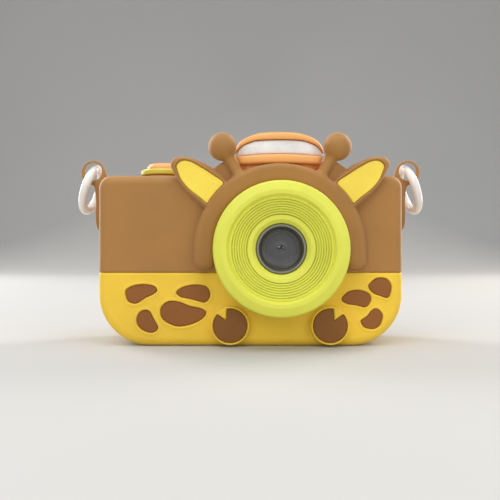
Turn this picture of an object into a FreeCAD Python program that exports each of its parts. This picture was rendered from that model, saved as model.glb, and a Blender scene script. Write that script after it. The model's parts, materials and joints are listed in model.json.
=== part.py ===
import FreeCAD, Part
import math
import os
import Sketcher

# Toy digital camera: hard two-part case inside a soft animal-shaped sleeve.
# X runs to the right seen from the lens side, Y runs from the lens side to
# the screen side, Z is up. The origin is the middle of the flat underside.
# Sketches on the XZ plane use "f", the distance forward of the mid plane.

V = FreeCAD.Vector
doc = FreeCAD.newDocument("kids_camera")
sheet = doc.addObject("Spreadsheet::Sheet", "Sizes")

SIZES = [
    # soft sleeve
    ("sleeve_width", 100.0), ("sleeve_height", 56.0), ("sleeve_front", 15.0), ("sleeve_back", 15.0),
    ("corner_low", 17.0), ("corner_top", 4.0), ("front_round", 2.8), ("back_round", 2.6),
    ("sleeve_wall", 2.7), ("sleeve_gap", 0.1), ("colour_split", 24.1), ("rear_lip_side", 8.0),
    ("rear_lip_low", 6.6), ("rear_lip_top", 6.2),
    # hard case
    ("case_half", 47.2), ("case_low", 2.6), ("case_top", 52.6), ("case_front", 12.6), ("case_back", 13.4),
    ("case_wall", 1.8), ("case_corner_low", 14.4), ("case_corner_top", 2.2),
    # lens stack
    ("lens_x", 9.6), ("lens_z", 31.9), ("disc_rad", 21.3), ("disc_front", 28.5), ("dish_rad", 16.4),
    ("throat_rad", 8.0), ("glass_rad", 5.85), ("bore_clear", 0.2), ("groove_deep", 0.45),
    # arch, ears, horns, hooves
    ("arch_rad", 27.7), ("arch_front", 18.6), ("arch_leg", 6.5), ("ear_front", 18.2), ("ear_back", 14.4),
    ("horn_dx", 18.8), ("horn_z", 65.2), ("horn_f", 15.2), ("horn_ball", 4.63), ("horn_stem", 1.75),
    ("hoof_dx", 16.2), ("hoof_z", 7.0), ("hoof_rad", 6.2), ("hoof_pad_rad", 5.6), ("hoof_front", 17.6),
    ("inlay_deep", 0.9),
    # lugs and rings
    ("lug_x", 54.9), ("lug_z", 58.4), ("lug_rad", 4.3), ("lug_half", 0.85), ("lug_hole", 3.1),
    ("ring_mean", 7.6), ("ring_wire", 1.5),
    # hump and flash
    ("hump_half", 14.8), ("hump_top", 70.6), ("hump_back", 9.0), ("hump_front", 14.2), ("lip_front", 15.6),
    ("window_low", 62.4),
    # buttons
    ("shutter_x", -30.2), ("shutter_rad", 5.9), ("shutter_top", 61.4), ("collar_rad", 8.0),
    ("collar_low", 57.1), ("collar_top", 59.1), ("boss_rad", 7.1), ("power_x", 36.0), ("power_rad", 3.0),
    ("power_top", 56.4), ("key_x", -29.0), ("key_z", 26.0), ("key_pitch", 8.6), ("key_rad", 3.1),
    ("ok_rad", 3.9), ("key_row_z", 41.0), ("key_proud", 0.9),
    # electronics
    ("board_y", 3.6), ("board_thick", 1.2), ("lcd_x", 10.0), ("lcd_z", 28.8), ("lcd_w", 46.0),
    ("lcd_tall", 37.0), ("view_w", 41.0), ("view_tall", 31.0), ("port_z", 31.0), ("port_half", 5.4),
    ("port_deep", 4.6), ("cover_thick", 1.5),
]
D = {}
for i, (name, value) in enumerate(SIZES):
    sheet.set("A%d" % (i + 1), name)
    sheet.set("B%d" % (i + 1), str(value))
    sheet.setAlias("B%d" % (i + 1), name)
    D[name] = value
doc.recompute()


# A size is a number, an alias, or a sum such as ("lens_x", 1, "arch_rad", -1, 2.0):
# aliases each followed by a factor, with an optional last number.
def num(size):
    if isinstance(size, str):
        return D[size]
    if isinstance(size, tuple):
        total, k = 0.0, 0
        while k < len(size):
            if isinstance(size[k], str):
                total += D[size[k]] * size[k + 1]
                k += 2
            else:
                total += size[k]
                k += 1
        return total
    return float(size)


def expr(size):
    if isinstance(size, str):
        return "Sizes." + size
    if isinstance(size, tuple):
        terms, k = [], 0
        while k < len(size):
            if isinstance(size[k], str):
                terms.append("Sizes.%s * (%s)" % (size[k], size[k + 1]))
                k += 2
            else:
                terms.append("(%s)" % size[k])
                k += 1
        return " + ".join(terms)
    return None


def bind(obj, prop, size):
    if expr(size) is None:
        return False
    obj.setExpression(prop, expr(size))
    return True


def place(obj, at=(0, 0, 0), rot=None):
    obj.Placement = FreeCAD.Placement(V(num(at[0]), num(at[1]), num(at[2])), rot or FreeCAD.Rotation())
    for axis, size in zip("xyz", at):
        bind(obj, "Placement.Base." + axis, size)
    return obj


count = [0]


def tag(kind):
    count[0] += 1
    return "%s%03d" % (kind, count[0])


# ---- Part primitives -------------------------------------------------------
def box(x0, x1, y0, y1, z0, z1):
    o = doc.addObject("Part::Box", tag("Block"))

    def span(lo, hi):
        if isinstance(lo, (int, float)) and isinstance(hi, (int, float)):
            return hi - lo
        a = hi if isinstance(hi, tuple) else ((hi, 1) if isinstance(hi, str) else (hi,))
        b = lo if isinstance(lo, tuple) else ((lo, 1) if isinstance(lo, str) else (lo,))
        neg, k = [], 0
        while k < len(b):
            if isinstance(b[k], str):
                neg += [b[k], -b[k + 1]]
                k += 2
            else:
                neg.append(-b[k])
                k += 1
        return tuple(a) + tuple(neg)
    for prop, lo, hi in (("Length", x0, x1), ("Width", y0, y1), ("Height", z0, z1)):
        s = span(lo, hi)
        setattr(o, prop, num(s))
        bind(o, prop, s)
    return place(o, (x0, y0, z0))


def cyl(rad, length, at, axis="z"):
    # starts at "at" and runs along +axis ("z", "y", "x") or against it ("-y", "-x", "-z")
    o = doc.addObject("Part::Cylinder", tag("Rod"))
    o.Radius = num(rad)
    bind(o, "Radius", rad)
    o.Height = num(length)
    bind(o, "Height", length)
    way = {"z": V(0, 0, 1), "y": V(0, 1, 0), "x": V(1, 0, 0), "-z": V(0, 0, -1), "-y": V(0, -1, 0), "-x": V(-1, 0, 0)}[axis]
    return place(o, at, FreeCAD.Rotation(V(0, 0, 1), way))


def fuse(*objs):
    objs = [o for o in objs if o]
    o = doc.addObject("Part::MultiFuse", tag("Join"))
    o.Shapes = list(objs)
    o.Refine = True
    return o


def cut(base, *tools):
    tool = tools[0] if len(tools) == 1 else fuse(*tools)
    o = doc.addObject("Part::Cut", tag("Cut"))
    o.Base, o.Tool = base, tool
    o.Refine = True
    return o


def common(a, b):
    o = doc.addObject("Part::Common", tag("Common"))
    o.Base, o.Tool = a, b
    return o


def group(*objs):
    o = doc.addObject("Part::Compound", tag("Group"))
    o.Links = list(objs)
    return o


# ---- PartDesign bodies -----------------------------------------------------
def body(at=(0, 0, 0)):
    b = doc.addObject("PartDesign::Body", tag("Body"))
    return place(b, at)


def sketch(b, role, offset=0):
    sk = b.newObject("Sketcher::SketchObject", tag("Sketch"))
    plane = [o for o in b.Origin.OriginFeatures if o.Role == role][0]
    sk.AttachmentSupport = [(plane, "")]
    sk.MapMode = "FlatFace"
    sk.AttachmentOffset = FreeCAD.Placement(V(0, 0, num(offset)), FreeCAD.Rotation())
    bind(sk, "AttachmentOffset.Base.z", offset)
    return sk


def poly(sk, pts):
    # closed outline of straight runs; every corner is dimensioned from the origin
    first = sk.GeometryCount
    n = len(pts)
    at = [(num(x), num(y)) for x, y in pts]
    for i in range(n):
        a, b = at[i], at[(i + 1) % n]
        sk.addGeometry(Part.LineSegment(V(a[0], a[1], 0), V(b[0], b[1], 0)), False)
    for i in range(n):
        sk.addConstraint(Sketcher.Constraint("Coincident", first + i, 2, first + (i + 1) % n, 1))
    for i, (x, y) in enumerate(pts):
        for way, size, value in (("DistanceX", x, at[i][0]), ("DistanceY", y, at[i][1])):
            k = sk.addConstraint(Sketcher.Constraint(way, -1, 1, first + i, 1, value))
            if expr(size):
                name = "%s%d_%d" % ("x" if way == "DistanceX" else "y", first, i)
                sk.renameConstraint(k, name)
                sk.setExpression("Constraints." + name, expr(size))
    return sk


def circle(sk, x, y, r):
    g = sk.addGeometry(Part.Circle(V(num(x), num(y), 0), V(0, 0, 1), num(r)), False)
    for way, size, tail in (("DistanceX", x, "cx"), ("DistanceY", y, "cy")):
        k = sk.addConstraint(Sketcher.Constraint(way, -1, 1, g, 3, num(size)))
        if expr(size):
            sk.renameConstraint(k, "%s%d" % (tail, g))
            sk.setExpression("Constraints.%s%d" % (tail, g), expr(size))
    k = sk.addConstraint(Sketcher.Constraint("Radius", g, num(r)))
    if expr(r):
        sk.renameConstraint(k, "rad%d" % g)
        sk.setExpression("Constraints.rad%d" % g, expr(r))
    return sk


def rounded(sk, half, low, top, rlow, rtop):
    # upright outline, symmetric about x = 0, with its own corner radius above and below
    H, L, T, a, b = num(half), num(low), num(top), num(rlow), num(rtop)
    s = math.pi / 2
    segs = [("line", (-H + a, L), (H - a, L)), ("arc", (H - a, L + a), a, -s, 0), ("line", (H, L + a), (H, T - b)),
            ("arc", (H - b, T - b), b, 0, s), ("line", (H - b, T), (-H + b, T)), ("arc", (-H + b, T - b), b, s, 2 * s),
            ("line", (-H, T - b), (-H, L + a)), ("arc", (-H + a, L + a), a, 2 * s, 3 * s)]
    for sg in segs:
        if sg[0] == "line":
            sk.addGeometry(Part.LineSegment(V(sg[1][0], sg[1][1], 0), V(sg[2][0], sg[2][1], 0)), False)
        else:
            c = Part.Circle(V(sg[1][0], sg[1][1], 0), V(0, 0, 1), sg[2])
            sk.addGeometry(Part.ArcOfCircle(c, sg[3], sg[4]), False)
    # arcs start and end counter-clockwise, so each meets its neighbours tangentially
    for i in range(8):
        sk.addConstraint(Sketcher.Constraint("Tangent", i, 2, (i + 1) % 8, 1))
    sk.addConstraint(Sketcher.Constraint("Horizontal", 0))
    sk.addConstraint(Sketcher.Constraint("Horizontal", 4))
    sk.addConstraint(Sketcher.Constraint("Vertical", 2))
    dims = [("DistanceX", (-1, 1, 2, 1), H, half), ("DistanceX", (6, 1, -1, 1), H, half),
            ("DistanceY", (-1, 1, 0, 1), L, low), ("DistanceY", (-1, 1, 4, 1), T, top)]
    for n, (way, args, value, size) in enumerate(dims):
        k = sk.addConstraint(Sketcher.Constraint(way, *args, value))
        if expr(size):
            sk.renameConstraint(k, "side%d" % n)
            sk.setExpression("Constraints.side%d" % n, expr(size))
    for n, (g, size) in enumerate(((1, rlow), (7, rlow), (3, rtop), (5, rtop))):
        k = sk.addConstraint(Sketcher.Constraint("Radius", g, num(size)))
        if expr(size):
            sk.renameConstraint(k, "bend%d" % n)
            sk.setExpression("Constraints.bend%d" % n, expr(size))
    return sk


def spline(sk, pts):
    c = Part.BSplineCurve()
    c.interpolate([V(x, y, 0) for x, y in pts], PeriodicFlag=True)
    sk.addGeometry(c, False)
    return sk


def pad(b, sk, length, back=False):
    p = b.newObject("PartDesign::Pad", tag("Pad"))
    p.Profile = sk
    p.Length = num(length)
    bind(p, "Length", length)
    p.Reversed = back
    doc.recompute()
    return p


def revolve(b, sk):
    r = b.newObject("PartDesign::Revolution", tag("Turn"))
    r.Profile = sk
    r.ReferenceAxis = (sk, ["V_Axis"])
    r.Angle = 360
    doc.recompute()
    return r


def fillet(b, feature, pick, radius):
    names = ["Edge%d" % (i + 1) for i, e in enumerate(feature.Shape.Edges) if pick(e)]
    f = b.newObject("PartDesign::Fillet", tag("Round"))
    f.Base = (feature, names)
    f.Radius = num(radius)
    bind(f, "Radius", radius)
    doc.recompute()
    if "Invalid" in f.State or f.Shape.isNull():
        raise RuntimeError("rounding failed on " + b.Name)
    return f


def flat_y(e, y):
    bb = e.BoundBox
    return abs(bb.YMin - y) < 1e-4 and abs(bb.YMax - y) < 1e-4


def flat_z(e, z):
    bb = e.BoundBox
    return abs(bb.ZMin - z) < 1e-4 and abs(bb.ZMax - z) < 1e-4


def slab(f_low, f_high, *draw, at=(0, 0, 0)):
    # a plate between two distances forward of the mid plane, from outlines on XZ
    b = body(at)
    sk = sketch(b, "XZ_Plane", f_low)
    for d in draw:
        d(sk)
    a = f_high if isinstance(f_high, tuple) else ((f_high, 1) if isinstance(f_high, str) else (f_high,))
    if isinstance(f_low, str):
        length = tuple(a) + (f_low, -1)
    elif isinstance(f_low, tuple):
        neg, k = [], 0
        while k < len(f_low):
            if isinstance(f_low[k], str):
                neg += [f_low[k], -f_low[k + 1]]
                k += 2
            else:
                neg.append(-f_low[k])
                k += 1
        length = tuple(a) + tuple(neg)
    else:
        length = tuple(a) + (-f_low,)
    if not any(isinstance(q, str) for q in length):
        length = sum(length)
    pad(b, sk, length)
    return b


def turned(pts, at):
    # turned about the Y axis: outline points are (radius, f)
    b = body(at)
    sk = sketch(b, "XY_Plane")
    flip = []
    for r, f in pts:
        if isinstance(f, str):
            f = (f, -1)
        elif isinstance(f, tuple):
            neg, k = [], 0
            while k < len(f):
                if isinstance(f[k], str):
                    neg += [f[k], -f[k + 1]]
                    k += 2
                else:
                    neg.append(-f[k])
                    k += 1
            f = tuple(neg)
        else:
            f = -f
        flip.append((r, f))
    poly(sk, flip)
    revolve(b, sk)
    return b


NODES = {}


def node(name, obj):
    obj.Label = name
    NODES[name] = obj
    return obj


LENS = ("lens_x", 0, "lens_z")

# ---- hard case -------------------------------------------------------------
hump_pts = [(-11.9, 50), (-12.9, 58.8), (-14.8, 62.4), (-14.5, 65.2), (-12.6, 67.7), (-9.4, 69.6), (-5.0, 70.5),
            (5.0, 70.5), (9.4, 69.6), (12.6, 67.7), (14.5, 65.2), (14.8, 62.4), (12.9, 58.8), (11.9, 50)]
hump_in = [(x * 0.875, 49 if z < 51 else (z - 60) * 0.83 + 59.3) for x, z in hump_pts]


def hump_plan(front, back, half, bow):
    # plan outline of the hump: bowed front and rear, (x, y) in the body's frame
    out = []
    for k in range(9):
        t = -1 + 2 * k / 8
        out.append((half * t, -(front - bow * t * t)))
    for k in range(9):
        t = 1 - 2 * k / 8
        out.append((half * t, back - bow * t * t))
    return out


def hump_block(outline, front, back, half, bow, low, high):
    tall = slab(-back - 1, front + 1, lambda s: poly(s, outline), at=("lens_x", 0, 0))
    b = body(("lens_x", 0, low))
    sk = sketch(b, "XY_Plane")
    poly(sk, hump_plan(front, back, half, bow))
    pad(b, sk, high - low)
    return common(tall, b)


case_block = slab(("case_back", -1), "case_front", lambda s: rounded(s, "case_half", "case_low", "case_top", "case_corner_low", "case_corner_top"))
tip = case_block.Tip
fillet(case_block, tip, lambda e: flat_y(e, -D["case_front"]) or flat_y(e, D["case_back"]), 1.2)
case_hollow = slab(("case_back", -1, "case_wall", 1), ("case_front", 1, "case_wall", -1),
                   lambda s: rounded(s, ("case_half", 1, "case_wall", -1), ("case_low", 1, "case_wall", 1),
                                     ("case_top", 1, "case_wall", -1), ("case_corner_low", 1, "case_wall", -1), 0.6))
hump_solid = hump_block(hump_pts, D["hump_front"], D["hump_back"], 15.2, 2.6, 50, 72)
hump_hollow = hump_block(hump_in, D["hump_front"] - 1.9, D["hump_back"] - 1.8, 13.2, 2.4, 48, 70)
lip = hump_block([(-13.2, 59.6), (-14.9, 62.4), (14.9, 62.4), (13.2, 59.6)],
                 D["lip_front"], -8.0, 15.4, 2.6, 56, 64)
button_boss = cyl("boss_rad", ("collar_low", 1, "case_top", -1, 1.0), ("shutter_x", 0, ("case_top", 1, -1.0)))
spigot = turned([(17.6, 12.0), (19.2, 12.0), (19.2, 15.6), (17.6, 15.6)], LENS)
SCREWS = [(-37.5, 9.5), (37.5, 9.5), (-42.0, 47.2), (42.0, 47.2)]
bosses_front = [cyl(2.7, 12.2, (x, -12.0, z), "y") for x, z in SCREWS]
bosses_rear = [cyl(2.7, 12.6, (x, 0, z), "y") for x, z in SCREWS]
POSTS = [(-16.3, 8.5), (-16.3, 33.0), (37.5, 18.0), (37.5, 40.0)]
posts = [cyl(1.9, 7.2, (x, 4.8, z), "y") for x, z in POSTS]
shelves = [box(-36.5, -31.0, -11.2, -7.2, 42.0, 43.4), box(-20.0, -14.0, -11.2, -7.2, 42.0, 43.4), box(34.0, 41.0, -11.2, -7.2, 42.0, 43.4)]
lcd_frame = cut(box(-14.6, 34.6, 8.4, 12.0, 8.8, 48.8), box(-13.2, 33.2, 7.0, 13.0, 10.2, 47.4))

# the hump's foot stops behind the sleeve's front wall and above the arch
arch_space = cyl(("arch_rad", 1, 0.25), 10.0, ("lens_x", -22.65, "lens_z"), "y")
wall_space = box(-10.0, 30.0, -17.0, -12.65, 48.0, ("sleeve_height", 1, 0.15))
shell_all = fuse(cut(fuse(case_block, hump_solid, lip, button_boss), case_hollow, hump_hollow, arch_space, wall_space), spigot)

flash_cut = hump_block([(-13.9, 62.4), (-13.5, 64.6), (-11.7, 66.7), (-8.8, 68.2), (-4.8, 68.9), (4.8, 68.9), (8.8, 68.2),
                        (11.7, 66.7), (13.5, 64.6), (13.9, 62.4)], 17.0, -7.0, 15.0, 2.6, 61, 71)
lens_hole = cyl(9.2, 6.0, ("lens_x", -14.0, "lens_z"), "y")
shutter_hole = cyl(6.1, 14.0, ("shutter_x", 0, 47.0))
power_hole = cyl(3.2, 8.0, ("power_x", 0, 48.0))
usb_hole = box(40.0, 50.0, -0.4, 3.9, ("port_z", 1, -4.9), ("port_z", 1, 4.9))
cover_seat = box(46.6, 50.0, ("port_deep", -1, -0.15), ("port_deep", 1, 0.15), ("port_z", 1, "port_half", -1, -0.15), ("port_z", 1, "port_half", 1, 0.15))
card_hole = box(-50.0, -44.0, 1.9, 4.1, ("port_z", 1, -5.9), ("port_z", 1, 5.9))
view_hole = box(("lcd_x", 1, "view_w", -0.5), ("lcd_x", 1, "view_w", 0.5), 9.0, 15.0, ("lcd_z", 1, "view_tall", -0.5), ("lcd_z", 1, "view_tall", 0.5))
window_seat = box(("lcd_x", 1, "lcd_w", -0.5), ("lcd_x", 1, "lcd_w", 0.5), 12.4, 15.0, ("lcd_z", 1, "lcd_tall", -0.5), ("lcd_z", 1, "lcd_tall", 0.5))
KEYS = [("key_up", 0, 1), ("key_down", 0, -1), ("key_left", -1, 0), ("key_right", 1, 0)]
key_holes = [cyl(("key_rad", 1, 0.2), 8.0, (("key_x", 1, "key_pitch", dx), 8.0, ("key_z", 1, "key_pitch", dz)), "y") for _, dx, dz in KEYS]
key_holes.append(cyl(("ok_rad", 1, 0.2), 8.0, ("key_x", 8.0, "key_z"), "y"))
for side in (-1, 1):
    key_holes.append(cyl(("key_rad", 1, 0.2), 8.0, (("key_x", 1, "key_pitch", side), 8.0, "key_row_z"), "y"))
grille = [cyl(0.65, 6.0, (-27.0 + 2.6 * i, 9.0, 9.6 + 2.2 * j), "y") for j in (-1, 0, 1) for i in (-2, -1, 0, 1, 2) if abs(i) + abs(j) < 3]
screw_holes_rear = [cyl(1.1, 16.0, (x, -1.0, z), "y") for x, z in SCREWS] + [cyl(2.1, 3.0, (x, 11.8, z), "y") for x, z in SCREWS]
screw_holes_front = [cyl(0.95, 8.0, (x, -7.0, z), "y") for x, z in SCREWS]
post_holes = [cyl(0.95, 6.0, (x, 4.0, z), "y") for x, z in POSTS]
front_half = box(-60, 60, -30, 0, 0, 80)
rear_half = box(-60, 60, 0, 30, 0, 80)

front_shell = cut(fuse(common(shell_all, front_half), *[common(b, front_half) for b in bosses_front], *shelves),
                  flash_cut, lens_hole, shutter_hole, power_hole, usb_hole, cover_seat, *screw_holes_front)
node("front_shell", front_shell)
rear_shell = cut(fuse(common(shell_all, rear_half), *bosses_rear, *posts, lcd_frame),
                 view_hole, window_seat, shutter_hole, power_hole, usb_hole, cover_seat, card_hole, *(key_holes + grille + screw_holes_rear + post_holes))
node("rear_shell", rear_shell)

# ---- sleeve ----------------------------------------------------------------
sleeve_block = slab(("sleeve_back", -1), "sleeve_front", lambda s: rounded(s, ("sleeve_width", 0.5), 0, "sleeve_height", "corner_low", "corner_top"))
tip = fillet(sleeve_block, sleeve_block.Tip, lambda e: flat_y(e, -D["sleeve_front"]), "front_round")
tip = fillet(sleeve_block, tip, lambda e: flat_y(e, D["sleeve_back"]), "back_round")
sleeve_hollow = slab(("case_back", -1, "sleeve_gap", -1), ("case_front", 1, "sleeve_gap", 1),
                     lambda s: rounded(s, ("case_half", 1, "sleeve_gap", 1), ("case_low", 1, "sleeve_gap", -1), ("case_top", 1, "sleeve_gap", 1),
                                       ("case_corner_low", 1, "sleeve_gap", 1), ("case_corner_top", 1, "sleeve_gap", 1)))
rear_opening = slab(-16.0, -12.0, lambda s: rounded(s, ("sleeve_width", 0.5, "rear_lip_side", -1), "rear_lip_low", ("sleeve_height", 1, "rear_lip_top", -1), 10.0, 3.0))
lens_opening = cyl(("disc_rad", 1, 0.15), 20.0, ("lens_x", -30.0, "lens_z"), "y")
hump_opening = box(("lens_x", 1, "hump_half", -1, -0.5), ("lens_x", 1, "hump_half", 1, 0.5), -12.7, 9.4, 50.0, 60.0)
boss_opening = cyl(("boss_rad", 1, 0.2), 10.0, ("shutter_x", 0, 50.0))
power_opening = cyl(("power_rad", 1, 1.2), 10.0, ("power_x", 0, 50.0))
cover_opening = box(46.0, 52.0, ("port_deep", -1, -0.3), ("port_deep", 1, 0.3), ("port_z", 1, "port_half", -1, -0.3), ("port_z", 1, "port_half", 1, 0.3))
card_opening = box(-52.0, -46.0, 0.2, 5.8, ("colour_split", 1, 0), ("port_z", 1, 6.6))
sleeve_open = cut(sleeve_block, sleeve_hollow, rear_opening, lens_opening, hump_opening, boss_opening, power_opening, cover_opening, card_opening)
upper_half = box(-60, 60, -20, 20, "colour_split", 80)
lower_half = box(-60, 60, -20, 20, -5, "colour_split")


def arch_draw(sk):
    # upper half ring with two short straight feet, open at the bottom
    R, r, leg = D["arch_rad"], D["disc_rad"] + 0.15, D["arch_leg"]
    up = math.pi
    sk.addGeometry(Part.ArcOfCircle(Part.Circle(V(0, 0, 0), V(0, 0, 1), R), 0, up), False)
    sk.addGeometry(Part.LineSegment(V(-R, 0, 0), V(-R, -leg, 0)), False)
    sk.addGeometry(Part.LineSegment(V(-R, -leg, 0), V(-r, -leg, 0)), False)
    sk.addGeometry(Part.LineSegment(V(-r, -leg, 0), V(-r, 0, 0)), False)
    sk.addGeometry(Part.ArcOfCircle(Part.Circle(V(0, 0, 0), V(0, 0, 1), r), 0, up), False)
    sk.addGeometry(Part.LineSegment(V(r, 0, 0), V(r, -leg, 0)), False)
    sk.addGeometry(Part.LineSegment(V(r, -leg, 0), V(R, -leg, 0)), False)
    sk.addGeometry(Part.LineSegment(V(R, -leg, 0), V(R, 0, 0)), False)
    for a, pa, b2, pb in ((0, 2, 1, 1), (1, 2, 2, 1), (2, 2, 3, 1), (3, 2, 4, 2), (4, 1, 5, 1), (5, 2, 6, 1), (6, 2, 7, 1), (7, 2, 0, 1)):
        sk.addConstraint(Sketcher.Constraint("Coincident", a, pa, b2, pb))
    sk.addConstraint(Sketcher.Constraint("Coincident", 0, 3, -1, 1))
    sk.addConstraint(Sketcher.Constraint("Coincident", 4, 3, -1, 1))
    for g, nm, size in ((0, "outer", "arch_rad"), (4, "inner", ("disc_rad", 1, 0.15))):
        k = sk.addConstraint(Sketcher.Constraint("Radius", g, num(size)))
        sk.renameConstraint(k, nm)
        sk.setExpression("Constraints." + nm, expr(size))
    for g in (1, 3, 5, 7):
        sk.addConstraint(Sketcher.Constraint("Vertical", g))
    for g in (2, 6):
        sk.addConstraint(Sketcher.Constraint("Horizontal", g))
    sk.addConstraint(Sketcher.Constraint("Horizontal", 0, 1, -1, 1))
    sk.addConstraint(Sketcher.Constraint("Horizontal", 0, 2, -1, 1))
    sk.addConstraint(Sketcher.Constraint("Horizontal", 4, 1, -1, 1))
    sk.addConstraint(Sketcher.Constraint("Horizontal", 4, 2, -1, 1))
    for n, g in enumerate((1, 5)):
        k = sk.addConstraint(Sketcher.Constraint("DistanceY", g, 2, -1, 1, leg))
        sk.renameConstraint(k, "leg%d" % n)
        sk.setExpression("Constraints.leg%d" % n, "Sizes.arch_leg")


arch = slab(14.0, "arch_front", arch_draw, at=("lens_x", 0, "lens_z"))
fillet(arch, arch.Tip, lambda e: flat_y(e, -D["arch_front"]), 1.1)

# ear outline beside the lens, tip first, measured from the lens axis
ear_pts = [(-35.5, 27.8), (-33.5, 29.8), (-29.2, 29.6), (-25.8, 28.2), (-22.2, 26.3), (-17.5, 21.6), (-19.4, 15.2), (-24.2, 13.4),
           (-27.3, 15.9), (-30.3, 18.8), (-32.9, 22.2), (-34.7, 25.0)]
inlay_pts = [(-33.6, 26.9), (-31.8, 28.5), (-29.1, 28.3), (-25.8, 26.6), (-22.3, 24.4), (-18.3, 21.2), (-21.0, 17.6), (-23.1, 14.4),
             (-26.3, 16.7), (-29.6, 19.3), (-32.0, 22.2), (-33.2, 25.0)]


ears, inlays, inlay_seats = [], [], []
for side in (-1, 1):
    mirrored = [(x if side < 0 else -x, z) for x, z in ear_pts]
    ear = slab("ear_back", "ear_front", lambda s, q=mirrored: spline(s, q), at=("lens_x", 0, "lens_z"))
    ears.append(ear)
    mirrored = [(x if side < 0 else -x, z) for x, z in inlay_pts]
    inlays.append(slab(("ear_front", 1, "inlay_deep", -1), ("ear_front", 1, -0.1), lambda s, q=mirrored: spline(s, q), at=("lens_x", 0, "lens_z")))
    inlay_seats.append(slab(("ear_front", 1, "inlay_deep", -1), ("ear_front", 1, 1.5), lambda s, q=mirrored: spline(s, q), at=("lens_x", 0, "lens_z")))
inlay_group = cut(group(*inlays), cyl(("arch_rad", 1, 0.05), 30.0, ("lens_x", -30.0, "lens_z"), "y"))
inlay_seat_group = cut(group(*inlay_seats), cyl("arch_rad", 30.0, ("lens_x", -30.0, "lens_z"), "y"))

horns = []
for side in (-1, 1):
    ball = doc.addObject("Part::Sphere", tag("Ball"))
    ball.Radius = D["horn_ball"]
    bind(ball, "Radius", "horn_ball")
    place(ball, (("lens_x", 1, "horn_dx", side), ("horn_f", -1), "horn_z"))
    dx, dz = side * D["horn_dx"], D["horn_z"] - D["lens_z"]
    reach = math.hypot(dx, dz)
    stem = doc.addObject("Part::Cone", tag("Stem"))
    stem.Radius1 = D["horn_stem"] + 0.25
    stem.Radius2 = D["horn_stem"] - 0.1
    bind(stem, "Radius1", ("horn_stem", 1, 0.25))
    bind(stem, "Radius2", ("horn_stem", 1, -0.1))
    stem.Height = reach - 24.5 - 2.5
    u = V(dx / reach, 0, dz / reach)
    stem.Placement = FreeCAD.Placement(V(D["lens_x"] + u.x * 24.5, -D["horn_f"] - 0.6, D["lens_z"] + u.z * 24.5), FreeCAD.Rotation(V(0, 0, 1), u))
    horns += [ball, stem]

lugs, lug_holes = [], []
for side in (-1, 1):
    lugs.append(cyl("lug_rad", ("lug_half", 2), (("lug_x", side), ("lug_half", -1), "lug_z"), "y"))
    web = body((0, 0, 0))
    sk = sketch(web, "XZ_Plane", ("lug_half", -1))
    poly(sk, [(side * 47.6, 54.0), (side * 49.4, 36.6), (side * 53.6, 39.2), (side * 54.1, 41.0), (side * 54.1, 56.5), (("lug_x", side, -1.5 * side), 62.0), (side * 49.6, 56.8)])
    pad(web, sk, ("lug_half", 2))
    lugs.append(web)
    lug_holes.append(cyl("lug_hole", 8.0, (("lug_x", side), -4.0, ("lug_z", 1, 0.4)), "y"))

# low shoulders of the sleeve's front wall, one each side of the hump
shoulders = []
for side in (-1, 1):
    shoulders.append(slab(("case_front", 1, 0.15), "sleeve_front", lambda s, k=side: poly(s, [(k * x, z) for x, z in [(26.5, 55.0), (24.6, 56.6), (22.0, 58.3), (18.4, 60.4), (15.6, 60.9), (14.6, 60.9), (13.7, 59.3), (13.4, 57.0), (13.4, 54.0), (26.5, 54.0)]]), at=("lens_x", 0, 0)))

sleeve_upper = cut(fuse(common(sleeve_open, upper_half), arch, *ears, *horns, *lugs, *shoulders), sleeve_hollow, inlay_seat_group,
                   *(lug_holes + [box(-46.9, 46.9, -12.0, 13.0, 40.0, 52.0)]))
node("sleeve_upper", sleeve_upper)
node("ear_inlays", inlay_group)

PATCHES = [
    [(-40.6, 18.6), (-40.9, 16.9), (-40.1, 14.7), (-38.2, 13.9), (-36.7, 14.2), (-34.2, 15.8), (-31.7, 17.0), (-30.5, 18.2), (-31.2, 19.5), (-32.9, 20.1), (-35.4, 20.3), (-38.2, 19.9)],
    [(-24.3, 17.5), (-24.0, 18.2), (-22.0, 19.4), (-19.2, 20.1), (-16.4, 20.1), (-14.2, 19.4), (-13.2, 17.5), (-13.5, 15.6), (-14.8, 14.3), (-16.0, 14.4), (-19.2, 15.3), (-22.6, 16.0), (-24.0, 16.9)],
    [(-29.5, 11.0), (-29.2, 12.8), (-27.6, 14.4), (-26.0, 14.8), (-23.2, 14.5), (-19.8, 13.2), (-16.4, 12.5), (-14.8, 11.6), (-14.5, 10.8), (-15.4, 9.2), (-17.9, 7.7), (-21.0, 6.7), (-24.2, 6.5), (-27.3, 7.7), (-29.0, 9.2)],
    [(-37.3, 8.2), (-37.1, 9.7), (-36.0, 11.4), (-34.3, 11.9), (-32.9, 11.4), (-31.7, 9.2), (-30.4, 6.8), (-30.3, 5.7), (-31.4, 4.6), (-32.9, 4.4), (-35.1, 5.1), (-36.7, 6.5)],
    [(38.5, 19.7), (39.1, 20.7), (40.7, 22.1), (42.3, 22.5), (44.2, 22.2), (45.5, 21.1), (46.1, 19.3), (45.8, 17.4), (45.2, 16.0), (44.2, 15.8), (42.5, 16.4), (40.5, 17.1), (39.1, 18.3)],
    [(29.7, 15.3), (30.2, 16.4), (32.0, 17.9), (34.5, 18.5), (36.3, 18.3), (38.2, 17.6), (39.3, 16.5), (39.4, 15.1), (38.8, 13.7), (37.7, 12.8), (36.6, 12.8), (34.5, 13.4), (32.2, 13.7), (30.4, 14.4)],
    [(36.0, 8.0), (36.3, 8.7), (38.2, 10.0), (39.3, 11.5), (40.7, 12.4), (42.1, 11.9), (43.1, 10.5), (43.2, 9.2), (42.5, 7.1), (40.9, 5.8), (39.1, 5.6), (37.0, 6.3)],
]
patches = [slab(("sleeve_front", 1, "inlay_deep", -1), ("sleeve_front", 1, -0.08), lambda s, q=p: spline(s, q)) for p in PATCHES]
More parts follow.
